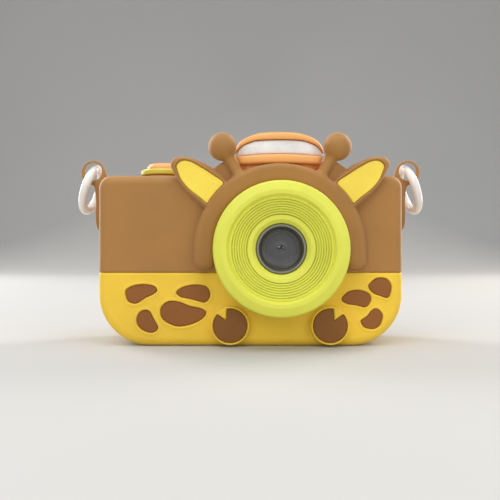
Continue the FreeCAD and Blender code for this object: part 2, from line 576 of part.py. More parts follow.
patch_seats = [slab(("sleeve_front", 1, "inlay_deep", -1), ("sleeve_front", 1, 1.0), lambda s, q=p: spline(s, q)) for p in PATCHES]
node("sleeve_patches", group(*patches))

hoof_boss, hoof_seat, hoof_pad = [], [], []
for side in (-1, 1):
    cx = ("lens_x", 1, "hoof_dx", side)
    b = slab(13.5, "hoof_front", lambda s: circle(s, 0, 0, "hoof_rad"), at=(cx, 0, "hoof_z"))
    fillet(b, b.Tip, lambda e: flat_y(e, -D["hoof_front"]), 0.8)
    hoof_boss.append(b)
    hoof_seat.append(cyl(("hoof_pad_rad", 1), 4.0, (cx, ("hoof_front", -1, 0.9), "hoof_z"), "-y"))
    disc = cyl(("hoof_pad_rad", 1, -0.05), 1.0, (cx, ("hoof_front", -1, 0.9), "hoof_z"), "-y")
    notch = [(side * 1.3, 1.8), (side * 4.4, 4.2), (side * 1.0, 6.6)]
    wb = slab(10.0, 22.0, lambda s, q=notch: poly(s, q if side > 0 else q[::-1]), at=(cx, 0, "hoof_z"))
    hoof_pad.append(cut(disc, wb))
node("hoof_pads", group(*hoof_pad))
sleeve_lower = cut(fuse(common(sleeve_open, lower_half), *hoof_boss), sleeve_hollow, lens_opening, *(patch_seats + hoof_seat))
node("sleeve_lower", sleeve_lower)

# ---- lens stack ------------------------------------------------------------
F = "disc_front"
groove = []
for k in range(7):
    r = 15.33 - 0.76 * k
    face = -1.0 - 0.15 * k
    deep = -0.45 if k < 6 else -0.75
    groove += [(r + 0.16, (F, 1, face)), (r, (F, 1, face + deep)), (r - 0.16, (F, 1, face))]
disc = turned([(19.4, 12.7), ("disc_rad", 12.7), ("disc_rad", (F, 1, -1.5)), (("disc_rad", 1, -0.35), (F, 1, -1.0)), (18.2, F), (17.1, F),
               ("dish_rad", (F, 1, -0.8)), (15.9, (F, 1, -1.0))] + groove +
              [(10.3, (F, 1, -2.1)), (9.2, (F, 1, -2.1)), ("throat_rad", (F, 1, -3.2)), ("throat_rad", 18.0), (9.6, 18.0), (9.6, (F, 1, -4.2)), (19.4, (F, 1, -3.2))], LENS)
node("lens_disc", disc)
node("lens_bezel", turned([(6.1, 14.0), (7.8, 14.0), (7.8, (F, 1, -3.3)), (7.3, (F, 1, -3.0)), (6.9, (F, 1, -3.6)), (6.3, (F, 1, -5.4)), (5.2, (F, 1, -5.6)),
                           (5.2, (F, 1, -6.2)), (6.1, (F, 1, -6.2))], LENS))
node("lens_cover_glass", turned([(0, (F, 1, -6.3)), (0, (F, 1, -7.3)), ("glass_rad", (F, 1, -7.3)), ("glass_rad", (F, 1, -6.3))], LENS))
node("lens_barrel", turned([(3.3, 4.0), (4.6, 4.0), (4.6, 12.0), (5.6, 12.6), (5.6, 20.2), (3.6, 20.2), (3.6, 16.6), (3.3, 16.6)], LENS))
el_front = turned([(0, 16.9), (3.3, 17.3), (3.3, 18.3), (2.2, 18.9), (0, 19.2)], LENS)
el_rear = turned([(0, 6.0), (3.1, 6.4), (3.1, 7.6), (0, 8.2)], LENS)
node("lens_elements", group(el_front, el_rear))
holder = cut(box(("lens_x", 1, -6.5), ("lens_x", 1, 6.5), -9.0, -1.5, ("lens_z", 1, -6.5), ("lens_z", 1, 6.5)), cyl(4.7, 9.0, ("lens_x", -10.0, "lens_z"), "y"),
             box(("lens_x", 1, -4.9), ("lens_x", 1, 4.9), -3.4, -1.0, ("lens_z", 1, -4.9), ("lens_z", 1, 4.9)))
node("lens_holder", holder)
node("image_sensor", fuse(box(("lens_x", 1, -4.0), ("lens_x", 1, 4.0), -2.7, -1.5, ("lens_z", 1, -4.0), ("lens_z", 1, 4.0)),
                          box(("lens_x", 1, -2.6), ("lens_x", 1, 2.6), -3.0, -2.6, ("lens_z", 1, -2.0), ("lens_z", 1, 2.0))))
node("sensor_board", box(("lens_x", 1, -8.0), ("lens_x", 1, 8.0), -1.5, -0.6, ("lens_z", 1, -8.0), ("lens_z", 1, 8.0)))
node("sensor_ribbon", fuse(box(6.6, 12.6, -0.6, -0.3, 20.2, 27.0), box(6.6, 12.6, -0.6, 3.2, 19.9, 20.2), box(6.6, 12.6, 2.9, 3.2, 17.0, 20.2),
                           box(6.0, 13.2, 2.2, 3.6, 14.6, 17.0)))

# ---- flash -----------------------------------------------------------------
def window_plan():
    out = []
    for k in range(9):
        t = -1 + 2 * k / 8
        out.append((14.6 * t, -(13.3 - 2.4 * t * t)))
    for k in range(9):
        t = 1 - 2 * k / 8
        out.append((14.6 * t, -(12.1 - 2.4 * t * t)))
    return out


wa = slab(8.0, 17.0, lambda s: poly(s, [(-13.8, 62.5), (-13.4, 64.6), (-11.65, 66.62), (-8.75, 68.1), (-4.75, 68.8), (4.75, 68.8), (8.75, 68.1), (11.65, 66.62), (13.4, 64.6), (13.8, 62.5)]), at=("lens_x", 0, 0))
wb = body(("lens_x", 0, 61))
wk = sketch(wb, "XY_Plane")
poly(wk, window_plan())
pad(wb, wk, 9.0)
node("flash_window", common(wa, wb))
node("flash_board", box(("lens_x", 1, -8.8), ("lens_x", 1, 8.8), -8.6, -7.6, 61.6, 66.6))
node("flash_leds", group(*[fuse(box(("lens_x", 1, d - 1.75), ("lens_x", 1, d + 1.75), -9.4, -8.6, 62.9, 66.1), cyl(1.2, 0.3, (("lens_x", 1, d), -9.4, 64.5), "-y")) for d in (-6.0, 0.0, 6.0)]))

# ---- boards and electronics -------------------------------------------------
board = slab(("board_y", -1, "board_thick", -1), ("board_y", -1),
             lambda s: poly(s, [(-33, 5.5), (33, 5.5), (33, 14), (44, 14), (44, 43), (30, 43), (30, 50), (-14, 50), (-14, 43), (-44, 43), (-44, 14), (-33, 14)]))
board = cut(board, *[cyl(1.0, 4.0, (x, 2.0, z), "y") for x, z in POSTS])
node("main_board", board)
node("board_chips", group(box(-8.0, 2.0, 2.4, 3.6, 32.5, 42.5), box(16.0, 24.0, 3.0, 3.6, 40.0, 47.0), box(22.0, 28.0, 2.6, 3.6, 14.0, 20.0), box(-30.0, -24.0, 2.4, 3.6, 36.5, 41.5),
                          box(-4.0, -1.0, 1.9, 3.6, 10.0, 13.5)))
node("button_board", box(-37.0, 41.5, -8.2, 2.8, 43.4, 44.4))


def switch(x, y, z, way):
    if way == "up":
        return fuse(box((x if isinstance(x, tuple) else (x, 1)) + (-2.2,), (x if isinstance(x, tuple) else (x, 1)) + (2.2,), y - 2.2, y + 2.2, z, z + 1.3), cyl(1.0, 0.5, (x, y, z + 1.3)))
    xt = x if isinstance(x, tuple) else (x, 1)
    zt = z if isinstance(z, tuple) else (z, 1)
    return fuse(box(xt + (-1.7,), xt + (1.7,), y, y + 1.4, zt + (-1.7,), zt + (1.7,)), cyl(0.9, 0.5, (xt, y + 1.4, zt), "y"))


switches = [switch("shutter_x", 0, 44.4, "up"), switch("power_x", 0, 44.4, "up")]
for _, dx, dz in KEYS:
    switches.append(switch(("key_x", 1, "key_pitch", dx), 4.8, ("key_z", 1, "key_pitch", dz), "back"))
switches.append(switch("key_x", 4.8, "key_z", "back"))
for side in (-1, 1):
    switches.append(switch(("key_x", 1, "key_pitch", side), 4.8, "key_row_z", "back"))
node("tact_switches", group(*switches))
node("lcd_panel", box(("lcd_x", 1, "lcd_w", -0.5, 0.1), ("lcd_x", 1, "lcd_w", 0.5, -0.1), 9.0, 11.5, ("lcd_z", 1, "lcd_tall", -0.5, 0.1), ("lcd_z", 1, "lcd_tall", 0.5, -0.1)))
node("lcd_window", box(("lcd_x", 1, "lcd_w", -0.5, 0.1), ("lcd_x", 1, "lcd_w", 0.5, -0.1), 12.4, 13.5, ("lcd_z", 1, "lcd_tall", -0.5, 0.1), ("lcd_z", 1, "lcd_tall", 0.5, -0.1)))
node("lcd_ribbon", fuse(box(4.0, 16.0, 4.8, 6.0, 20.0, 23.0), box(4.0, 16.0, 6.0, 6.3, 20.0, 30.0), box(4.0, 16.0, 6.0, 9.0, 29.7, 30.0)))
cell = body()
ck = sketch(cell, "XY_Plane", 6.0)
poly(ck, [(-34.5, -10.4), (0.0, -10.4), (0.0, -4.2), (-34.5, -4.2)])
pad(cell, ck, 25.0)
cell_round = fillet(cell, cell.Tip, lambda e: e.BoundBox.ZLength > 20, 2.0)
node("battery", cell)
node("battery_connector", box(-20.0, -13.0, -0.6, 3.6, 24.0, 29.0))


def lead(dz):
    pts = [V(0, -7.3, 13.0 + dz), V(3.8, -7.3, 13.0 + dz), V(3.8, -2.6, 15.5 + dz), V(-2.5, 1.4, 22.0 + dz), V(-7.5, 1.4, 26.5 + dz), V(-13.0, 1.4, 26.5 + dz)]
    path, last = [], pts[0]
    edges = []
    for i in range(1, len(pts) - 1):
        a, b2, c = pts[i - 1], pts[i], pts[i + 1]
        r1, r2 = (a - b2), (c - b2)
        t = 0.42 * min(r1.Length, r2.Length)
        p1 = b2 + r1.normalize() * t
        p2 = b2 + r2.normalize() * t
        u1, u2 = (a - b2).normalize(), (c - b2).normalize()
        half = math.acos(max(-1, min(1, u1.dot(u2)))) / 2
        rad = t * math.tan(half)
        mid_dir = (u1 + u2).normalize()
        centre = b2 + mid_dir * (rad / math.sin(half))
        mid = centre - mid_dir * rad
        edges.append(Part.LineSegment(last, p1).toShape())
        edges.append(Part.Arc(p1, mid, p2).toShape())
        last = p2
    edges.append(Part.LineSegment(last, pts[-1]).toShape())
    wire = Part.Wire(edges)
    prof = Part.Wire([Part.makeCircle(0.55, pts[0], V(1, 0, 0))])
    return wire.makePipeShell([prof], True, False)


leads = doc.addObject("Part::Feature", "Leads")
leads.Shape = Part.makeCompound([lead(0.8), lead(-0.8)])
node("battery_leads", leads)
node("speaker", fuse(box(-34.4, -19.6, 8.0, 11.0, 5.8, 13.2), box(-33.4, -20.6, 11.0, 11.5, 6.6, 12.4)))
node("microphone", cyl(2.2, 1.8, (-40.0, "board_y", 40.4), "-y"))
node("usb_socket", cut(box(39.4, 46.4, 0.3, 3.6, ("port_z", 1, -4.5), ("port_z", 1, 4.5)), box(40.4, 47.0, 0.8, 3.1, ("port_z", 1, -4.0), ("port_z", 1, 4.0))))
card_socket = cut(box(-44.6, -30.0, 1.9, 3.6, ("port_z", 1, -6.5), ("port_z", 1, 6.5)), box(-46.0, -30.8, 2.3, 3.3, ("port_z", 1, -5.6), ("port_z", 1, 5.6)))
node("card_socket", card_socket)
node("memory_card", box(-46.4, -31.6, 2.45, 3.15, ("port_z", 1, -5.45), ("port_z", 1, 5.45)))

# ---- port cover: a flap let into the side of the sleeve ---------------------
cover = fuse(box(48.35, 49.85, ("port_deep", -1), 3.3, ("port_z", 1, "port_half", -1), ("port_z", 1, "port_half", 1)),
             cyl(0.75, ("port_half", 2), (49.1, 3.85, ("port_z", 1, "port_half", -1))),
             box(48.5, 49.7, 3.2, 3.85, ("port_z", 1, "port_half", -1), ("port_z", 1, "port_half", 1)),
             box(47.4, 48.4, -3.2, 1.6, ("port_z", 1, -4.2), ("port_z", 1, 4.2)))
node("port_cover", cover)

# ---- buttons ---------------------------------------------------------------
cap = body(("shutter_x", 0, 0))
cs = sketch(cap, "XZ_Plane")
poly(cs, [(0, 47.6), (1.8, 47.6), (1.8, 49.4), (6.7, 49.4), (6.7, 50.4), ("shutter_rad", 50.4), ("shutter_rad", ("shutter_top", 1, -1.6)), (("shutter_rad", 1, -0.5), ("shutter_top", 1, -0.6)),
          (("shutter_rad", 1, -1.7), "shutter_top"), (2.0, ("shutter_top", 1, -0.25)), (0, ("shutter_top", 1, -0.3))])
revolve(cap, cs)
node("shutter_button", cap)
col = body(("shutter_x", 0, 0))
cs = sketch(col, "XZ_Plane")
poly(cs, [(6.15, "collar_low"), (("collar_rad", 1, -0.3), "collar_low"), ("collar_rad", ("collar_low", 1, 0.4)), ("collar_rad", ("collar_top", 1, -0.6)), (("collar_rad", 1, -0.6), "collar_top"), (6.15, "collar_top")])
revolve(col, cs)
node("shutter_collar", col)
pb = body(("power_x", 0, 0))
cs = sketch(pb, "XZ_Plane")
poly(cs, [(0, 47.4), (1.5, 47.4), (1.5, 49.2), (3.55, 49.2), (3.55, 50.2), ("power_rad", 50.2), ("power_rad", ("power_top", 1, -0.6)), (("power_rad", 1, -0.6), "power_top"), (0, "power_top")])
revolve(pb, cs)
node("power_button", pb)


def key(name, x, z, rad):
    b = body((x, 0, z))
    sk = sketch(b, "XY_Plane")
    top = ("case_back", 1, "key_proud", 1)
    r1 = (rad, 1, 0.7)
    poly(sk, [(0, 7.9), (1.2, 7.9), (1.2, 10.2), (r1, 10.2), (r1, 11.2), (rad, 11.2), (rad, ("case_back", 1, "key_proud", 1, -0.5)), ((rad, 1, -0.5), top), (0, top)])
    revolve(b, sk)
    node(name, b)


for name, dx, dz in KEYS:
    key(name, ("key_x", 1, "key_pitch", dx), ("key_z", 1, "key_pitch", dz), "key_rad")
key("key_ok", "key_x", "key_z", "ok_rad")
key("key_menu", ("key_x", 1, "key_pitch", -1), "key_row_z", "key_rad")
key("key_play", ("key_x", 1, "key_pitch", 1), "key_row_z", "key_rad")

# ---- fasteners -------------------------------------------------------------
screws = [fuse(cyl(1.9, 1.2, (x, 11.9, z), "y"), cyl(0.9, 18.0, (x, 11.9, z), "-y")) for x, z in SCREWS]
node("case_screws", group(*[cut(s, cyl(0.7, 2.0, (x, 12.4, z), "y")) for s, (x, z) in zip(screws, SCREWS)]))
small = [fuse(cyl(1.7, 1.0, (x, 3.6, z), "-y"), cyl(0.85, 5.6, (x, 3.6, z), "y")) for x, z in POSTS]
node("board_screws", group(*[cut(s, cyl(0.6, 1.0, (x, 3.2, z), "-y")) for s, (x, z) in zip(small, POSTS)]))

# ---- lanyard rings ----------------------------------------------------------
for side, name in ((-1, "lanyard_ring_left"), (1, "lanyard_ring_right")):
    yaw, lean, clock = math.radians(5), math.radians(17), math.radians(35)
    hole = V(side * D["lug_x"], 0, D["lug_z"] + 0.4)
    up = V(-side * math.sin(lean), 0, math.cos(lean))
    aft = V(-side * math.sin(yaw), math.cos(yaw), 0)
    aft = (aft - up * aft.dot(up)).normalize()
    centre = hole - up * (D["ring_mean"] * math.cos(clock)) + aft * (D["ring_mean"] * math.sin(clock))
    ring = doc.addObject("Part::Torus", tag("Ring"))
    ring.Radius1 = D["ring_mean"]
    ring.Radius2 = D["ring_wire"]
    bind(ring, "Radius1", "ring_mean")
    bind(ring, "Radius2", "ring_wire")
    ring.Placement = FreeCAD.Placement(centre, FreeCAD.Rotation(V(0, 0, 1), up.cross(aft)))
    node(name, ring)

doc.recompute()
bad = [o.Name for o in doc.Objects if "Invalid" in o.State or "Error" in o.State]
if bad:
    raise RuntimeError("failed objects: " + ", ".join(bad))
for name, obj in NODES.items():
    if obj.Shape.isNull() or not obj.Shape.isValid():
        raise RuntimeError("bad shape: " + name)
os.makedirs("parts", exist_ok=True)
for old in os.listdir("parts"):
    if old.endswith(".step") and old[:-5] not in NODES:
        os.remove(os.path.join("parts", old))
for name, obj in NODES.items():
    obj.Shape.exportStep("parts/%s.step" % name)
    bb = obj.Shape.BoundBox
    print("%-20s solids %2d  vol %9.1f  x %6.1f %6.1f  y %6.1f %6.1f  z %6.1f %6.1f" % (
        name, len(obj.Shape.Solids), obj.Shape.Volume, bb.XMin, bb.XMax, bb.YMin, bb.YMax, bb.ZMin, bb.ZMax))
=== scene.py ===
import json
import math
import bpy
import numpy as np
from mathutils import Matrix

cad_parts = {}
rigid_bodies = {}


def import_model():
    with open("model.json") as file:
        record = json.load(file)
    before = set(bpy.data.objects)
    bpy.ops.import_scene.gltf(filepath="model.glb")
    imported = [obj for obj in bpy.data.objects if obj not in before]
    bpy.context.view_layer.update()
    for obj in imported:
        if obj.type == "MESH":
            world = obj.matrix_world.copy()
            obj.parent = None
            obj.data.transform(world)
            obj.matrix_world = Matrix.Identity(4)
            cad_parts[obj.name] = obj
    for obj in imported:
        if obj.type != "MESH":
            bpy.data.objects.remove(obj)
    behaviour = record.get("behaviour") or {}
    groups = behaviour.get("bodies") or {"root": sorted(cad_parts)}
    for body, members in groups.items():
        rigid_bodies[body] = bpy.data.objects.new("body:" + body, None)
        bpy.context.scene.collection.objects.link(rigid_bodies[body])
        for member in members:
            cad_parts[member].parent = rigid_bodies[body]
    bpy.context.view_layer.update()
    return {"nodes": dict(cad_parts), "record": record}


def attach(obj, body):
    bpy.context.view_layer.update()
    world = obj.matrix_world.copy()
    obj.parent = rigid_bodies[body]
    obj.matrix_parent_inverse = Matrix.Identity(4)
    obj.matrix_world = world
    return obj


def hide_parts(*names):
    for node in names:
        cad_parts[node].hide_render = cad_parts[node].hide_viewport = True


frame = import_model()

import openvdb
from mathutils import Matrix, Vector

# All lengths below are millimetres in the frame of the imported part: X to the
# right seen from the lens side, Y towards the screen side, Z up. "f" is the
# distance forward of the mid plane, so f = -Y.
MM = 0.001
COARSE = 1.0
F32 = np.float32
LX, LZ = 9.6, 31.9
NODES = frame["nodes"]


# ---------------------------------------------------------------- materials
def lin(rgb):
    out = []
    for v in rgb:
        v = v / 255.0
        out.append(v / 12.92 if v <= 0.04045 else ((v + 0.055) / 1.055) ** 2.4)
    return (out[0], out[1], out[2], 1.0)


def shade(rgb, k):
    return tuple(max(0.0, min(255.0, c * k)) for c in rgb)


class Mat:
    def __init__(self, name):
        self.m = bpy.data.materials.new(name)
        self.m.use_nodes = True
        self.t = self.m.node_tree
        self.bsdf = self.t.nodes["Principled BSDF"]
        self.coord = self.add("ShaderNodeTexCoord")
        self.place = self.coord.outputs["Object"]

    def add(self, kind, **props):
        n = self.t.nodes.new(kind)
        for k, v in props.items():
            setattr(n, k, v)
        return n

    def link(self, a, b):
        self.t.links.new(a, b)

    def set(self, **values):
        for k, v in values.items():
            self.bsdf.inputs[k.replace("_", " ")].default_value = v
        return self

    def noise(self, scale, detail=3.0, rough=0.5):
        n = self.add("ShaderNodeTexNoise")
        n.inputs["Scale"].default_value = scale
        n.inputs["Detail"].default_value = detail
        n.inputs["Roughness"].default_value = rough
        self.link(self.place, n.inputs["Vector"])
        return n.outputs["Fac"]

    def ramp(self, fac, stops):
        r = self.add("ShaderNodeValToRGB")
        e = r.color_ramp.elements
        while len(e) < len(stops):
            e.new(0.5)
        for k, (pos, col) in enumerate(stops):
            e[k].position = pos
            e[k].color = col
        self.link(fac, r.inputs["Fac"])
        return r.outputs["Color"]

    def remap(self, fac, a, b, c, d):
        m = self.add("ShaderNodeMapRange")
        for k, v in zip(("From Min", "From Max", "To Min", "To Max"), (a, b, c, d)):
            m.inputs[k].default_value = v
        self.link(fac, m.inputs["Value"])
        return m.outputs["Result"]

    def bump(self, height, strength, distance, under=None):
        b = self.add("ShaderNodeBump")
        b.inputs["Strength"].default_value = strength
        b.inputs["Distance"].default_value = distance
        self.link(height, b.inputs["Height"])
        if under is not None:
            self.link(under, b.inputs["Normal"])
        return b.outputs["Normal"]

    def colour(self, out):
        self.link(out, self.bsdf.inputs["Base Color"])

    def rough(self, out):
        self.link(out, self.bsdf.inputs["Roughness"])

    def normal(self, out):
        self.link(out, self.bsdf.inputs["Normal"])


def silicone(name, rgb, sheen=0.30, rough=(0.50, 0.64), grain=0.10, spread=0.05):
    # soft moulded silicone: a slow drift of tone, faint dust, a very fine matt grain
    m = Mat(name)
    m.colour(m.ramp(m.noise(38.0, 4.0), [(0.30, lin(shade(rgb, 1 - spread))), (0.52, lin(rgb)), (0.74, lin(shade(rgb, 1 + spread * 0.8)))]))
    m.rough(m.remap(m.noise(170.0, 3.0), 0.3, 0.7, rough[0], rough[1]))
    fine = m.bump(m.noise(5200.0, 2.0, 0.6), grain, 0.00006)
    m.normal(m.bump(m.noise(420.0, 2.0), 0.05, 0.00025, fine))
    m.set(Sheen_Weight=sheen, Sheen_Roughness=0.42, Sheen_Tint=(1.0, 0.93, 0.84, 1.0), Specular_IOR_Level=0.36,
          Subsurface_Weight=0.06, Subsurface_Radius=(0.0010, 0.0006, 0.0003), Subsurface_Scale=1.0)
    return m.m


def plastic(name, rgb, rough=(0.28, 0.36), coat=0.0, grain=0.05, spread=0.03, spec=0.5, sss=0.0):
    # moulded plastic: spark-eroded micro texture, slightly uneven gloss
    m = Mat(name)
    m.colour(m.ramp(m.noise(55.0, 3.0), [(0.3, lin(shade(rgb, 1 - spread))), (0.55, lin(rgb)), (0.8, lin(shade(rgb, 1 + spread)))]))
    m.rough(m.remap(m.noise(260.0, 4.0), 0.3, 0.7, rough[0], rough[1]))
    fine = m.bump(m.noise(3600.0, 2.0, 0.55), grain, 0.00005)
    m.normal(m.bump(m.noise(90.0, 1.0), 0.03, 0.0004, fine))
    m.set(Specular_IOR_Level=spec, Coat_Weight=coat, Coat_Roughness=0.12)
    if sss:
        m.set(Subsurface_Weight=sss, Subsurface_Radius=(0.0016, 0.0012, 0.0009), Subsurface_Scale=1.0)
    return m.m


def metal(name, rgb, rough=(0.25, 0.42)):
    m = Mat(name)
    m.colour(m.ramp(m.noise(300.0, 4.0), [(0.3, lin(shade(rgb, 0.9))), (0.7, lin(rgb))]))
    m.rough(m.remap(m.noise(900.0, 3.0), 0.3, 0.7, rough[0], rough[1]))
    m.normal(m.bump(m.noise(1600.0, 2.0), 0.05, 0.00005))
    m.set(Metallic=1.0)
    return m.m


BROWN, YELLOW, PATCH, HOOF = (172, 123, 64), (246, 204, 62), (148, 91, 38), (136, 87, 35)
INEAR, ORANGE, LIME = (255, 224, 84), (246, 176, 100), (229, 230, 84)
M = {
    "sleeve_brown": silicone("silicone_brown", BROWN),
    "sleeve_yellow": silicone("silicone_yellow", YELLOW, sheen=0.16),
    "patch_brown": silicone("silicone_patch", PATCH, sheen=0.14),
    "hoof_brown": silicone("silicone_hoof", HOOF, sheen=0.12),
    "ear_yellow": silicone("silicone_inner_ear", INEAR, sheen=0.16),
    "case_orange": plastic("plastic_orange", ORANGE, rough=(0.33, 0.44), grain=0.07),
    "lens_lime": plastic("plastic_lime", LIME, rough=(0.40, 0.50), grain=0.06, spec=0.45),
    "button_lime": plastic("plastic_button_lime", (216, 204, 76), rough=(0.30, 0.40)),
    "button_orange": plastic("plastic_button_orange", (245, 176, 106), rough=(0.28, 0.38)),
    "button_yellow": plastic("plastic_button_yellow", (250, 212, 84), rough=(0.28, 0.38)),
    "bezel_dark": plastic("plastic_bezel", (66, 65, 56), rough=(0.26, 0.36), grain=0.03),
    # lighter copy of the bezel plastic: painted highlight for the lit outer lip of the bezel and the rim round the
    # glass
    "bezel_edge": plastic("plastic_bezel_edge", (132, 129, 112), rough=(0.22, 0.30), grain=0.03),
    "key_mark": plastic("plastic_key_mark", (122, 84, 44), rough=(0.4, 0.5)),
    "black_plastic": plastic("plastic_black", (26, 26, 28), rough=(0.4, 0.55)),
    "connector_white": plastic("plastic_white", (230, 226, 214)),
    "ring_white": plastic("plastic_ring", (240, 237, 231), rough=(0.16, 0.24), coat=0.35, grain=0.015, spread=0.015, sss=0.15),
    "switch_steel": metal("steel_switch", (186, 186, 182)),
    "socket_steel": metal("steel_socket", (196, 198, 200), (0.2, 0.34)),
    "screw_steel": metal("steel_screw", (168, 168, 166), (0.24, 0.4)),
    "battery_wrap": plastic("foil_battery", (156, 164, 172), rough=(0.3, 0.4)),
    "lead_red": plastic("lead_red", (190, 40, 36)),
    "led_yellow": plastic("led_phosphor", (242, 226, 130), rough=(0.3, 0.4)),
    "ribbon_film": plastic("film_amber", (196, 122, 44), rough=(0.2, 0.3)),
    "sensor_glass": plastic("chip_glass", (30, 34, 52), rough=(0.08, 0.14)),
    "lcd_dark": plastic("panel_dark", (16, 18, 24), rough=(0.2, 0.3)),
}


def board_material():
    m = Mat("board_green")
    vor = m.add("ShaderNodeTexVoronoi", feature="DISTANCE_TO_EDGE")
    vor.inputs["Scale"].default_value = 420.0
    m.link(m.place, vor.inputs["Vector"])
    m.colour(m.ramp(vor.outputs["Distance"], [(0.0, lin((70, 130, 80))), (0.05, lin((24, 84, 46))), (1.0, lin((18, 70, 40)))]))
    m.rough(m.remap(m.noise(300.0), 0.3, 0.7, 0.3, 0.42))
    m.normal(m.bump(vor.outputs["Distance"], 0.1, 0.00005))
    return m.m


M["circuit_board"] = board_material()


def window_material():
    # milky diffuser with a faint vertical change of tone
    m = Mat("diffuser_white")
    m.colour(m.ramp(m.noise(120.0, 2.0), [(0.3, lin((232, 236, 236))), (0.7, lin((246, 248, 248)))]))
    m.rough(m.remap(m.noise(500.0), 0.3, 0.7, 0.24, 0.32))
    wave = m.add("ShaderNodeTexWave", wave_type="BANDS", bands_direction="Z", wave_profile="SIN")
    wave.inputs["Scale"].default_value = 320.0
    m.link(m.place, wave.inputs["Vector"])
    m.normal(m.bump(wave.outputs["Fac"], 0.05, 0.00006))
    m.set(Subsurface_Weight=0.35, Subsurface_Radius=(0.0022, 0.0022, 0.0022), Subsurface_Scale=1.0, Coat_Weight=0.5, Coat_Roughness=0.08)
    return m.m


def glass_material(name, tint, rough=0.03, alpha=1.0, spec=0.6):
    m = Mat(name)
    m.colour(m.ramp(m.noise(180.0), [(0.3, lin(shade(tint, 0.96))), (0.7, lin(tint))]))
    m.rough(m.remap(m.noise(700.0), 0.3, 0.7, rough, rough + 0.03))
    m.set(Specular_IOR_Level=spec, Coat_Weight=1.0, Coat_Roughness=0.03)
    return m.m


M["flash_white"] = window_material()
M["lens_glass"] = glass_material("glass_cover", (84, 83, 85), 0.16, spec=0.5)
M["lens_pupil"] = glass_material("glass_pupil", (14, 14, 20), 0.02, spec=1.0)
M["clear_glass"] = glass_material("glass_element", (30, 36, 60), 0.02, spec=1.0)
M["window_clear"] = glass_material("glass_screen", (13, 14, 17), 0.05)


def screen_material():
    # the lit part of the screen: a plain sky-to-meadow gradient with soft hills
    m = Mat("screen_picture")
    sep = m.add("ShaderNodeSeparateXYZ")
    m.link(m.place, sep.inputs[0])
    hill = m.noise(45.0, 1.0)
    add = m.add("ShaderNodeMath", operation="MULTIPLY_ADD")
    m.link(hill, add.inputs[0])
    add.inputs[1].default_value = -0.010
    m.link(sep.outputs["Z"], add.inputs[2])
    col = m.ramp(m.remap(add.outputs[0], 0.008, 0.040, 0.0, 1.0),
                 [(0.0, lin((74, 128, 62))), (0.30, lin((120, 170, 84))), (0.34, lin((196, 222, 226))), (1.0, lin((92, 150, 206)))])
    m.colour(col)
    m.link(col, m.bsdf.inputs["Emission Color"])
    m.set(Emission_Strength=0.35, Coat_Weight=1.0, Coat_Roughness=0.03)
    m.rough(m.remap(m.noise(500.0), 0.3, 0.7, 0.1, 0.16))
    return m.m


M["screen"] = screen_material()

for slot in frame["record"]["subparts"]:
    node, name = slot["node"], slot["material_slot"]
    obj = NODES.get(node)
    if obj is None:
        continue
    parts = [obj] + [c for c in obj.children_recursive]
    for o in parts:
        if o.type == "MESH":
            for s in o.material_slots:
                s.material = M[name]


# ---------------------------------------------------------- distance fields
def smin(a, b, k):
    h = np.maximum(k - np.abs(a - b), 0.0) / k
    return np.minimum(a, b) - h * h * (k * 0.25)


def smax(a, b, k):
    return -smin(-a, -b, k)


def curve(pts, n=7):
    # closed Catmull-Rom line through the points
    p = np.array(pts, float)
    out = []
    for i in range(len(p)):
        a, b, c, d = p[i - 1], p[i], p[(i + 1) % len(p)], p[(i + 2) % len(p)]
        for k in range(n):
            t = k / n
            out.append(0.5 * ((2 * b) + (-a + c) * t + (2 * a - 5 * b + 4 * c - d) * t * t + (-a + 3 * b - 3 * c + d) * t ** 3))
    return np.array(out)


def flat_outline(pts, u, v):
    # signed distance to a closed outline, negative inside
    p = np.asarray(pts, F32)
    q = np.roll(p, -1, axis=0)
    best = np.full(np.broadcast(u, v).shape, 1e9, F32)
    inside = np.zeros(best.shape, bool)
    for (ax, ay), (bx, by) in zip(p, q):
        ex, ey = bx - ax, by - ay
        wx, wy = u - ax, v - ay
        t = np.clip((wx * ex + wy * ey) / max(ex * ex + ey * ey, 1e-12), 0, 1)
        dx, dy = wx - ex * t, wy - ey * t
        best = np.minimum(best, dx * dx + dy * dy)
        if ay != by:
            crosses = ((ay > v) != (by > v)) & (u < (bx - ax) * (v - ay) / (by - ay) + ax)
            inside ^= crosses
    d = np.sqrt(best)
    return np.where(inside, -d, d).astype(F32)


def rrect(x, z, half, low, top, rl, rt):
    mid, hz = (low + top) / 2, (top - low) / 2
    r = np.where(z < mid, rl, rt).astype(F32)
    qx, qz = np.abs(x) - half + r, np.abs(z - mid) - hz + r
    return np.minimum(np.maximum(qx, qz), 0) + np.sqrt(np.maximum(qx, 0) ** 2 + np.maximum(qz, 0) ** 2) - r


def extrude(d2, y, y0, y1, r_low=0.01, r_high=0.01):
    # r_low rounds the edge at y0, r_high the edge at y1
    w = np.abs(y - (y0 + y1) / 2) - (y1 - y0) / 2
    r = np.where(y < (y0 + y1) / 2, r_low, r_high).astype(F32)
    a, b = d2 + r, w + r
    return np.minimum(np.maximum(a, b), 0) + np.sqrt(np.maximum(a, 0) ** 2 + np.maximum(b, 0) ** 2) - r


def box_field(x, y, z, lo, hi, r=0.2):
    q = [np.abs(c - (a + b) / 2) - (b - a) / 2 + r for c, a, b in zip((x, y, z), lo, hi)]
    out = np.sqrt(np.maximum(q[0], 0) ** 2 + np.maximum(q[1], 0) ** 2 + np.maximum(q[2], 0) ** 2)
    return out + np.minimum(np.maximum(np.maximum(q[0], q[1]), q[2]), 0) - r


def rod_y(x, y, z, cx, cz, rad, y0, y1, r0=0.01, r1=0.01):
    return extrude(np.sqrt((x - cx) ** 2 + (z - cz) ** 2) - rad, y, y0, y1, r0, r1)


def rod_z(x, y, z, cx, cy, rad, z0, z1, r=0.2):
    return extrude(np.sqrt((x - cx) ** 2 + (y - cy) ** 2) - rad, z, z0, z1, r, r)


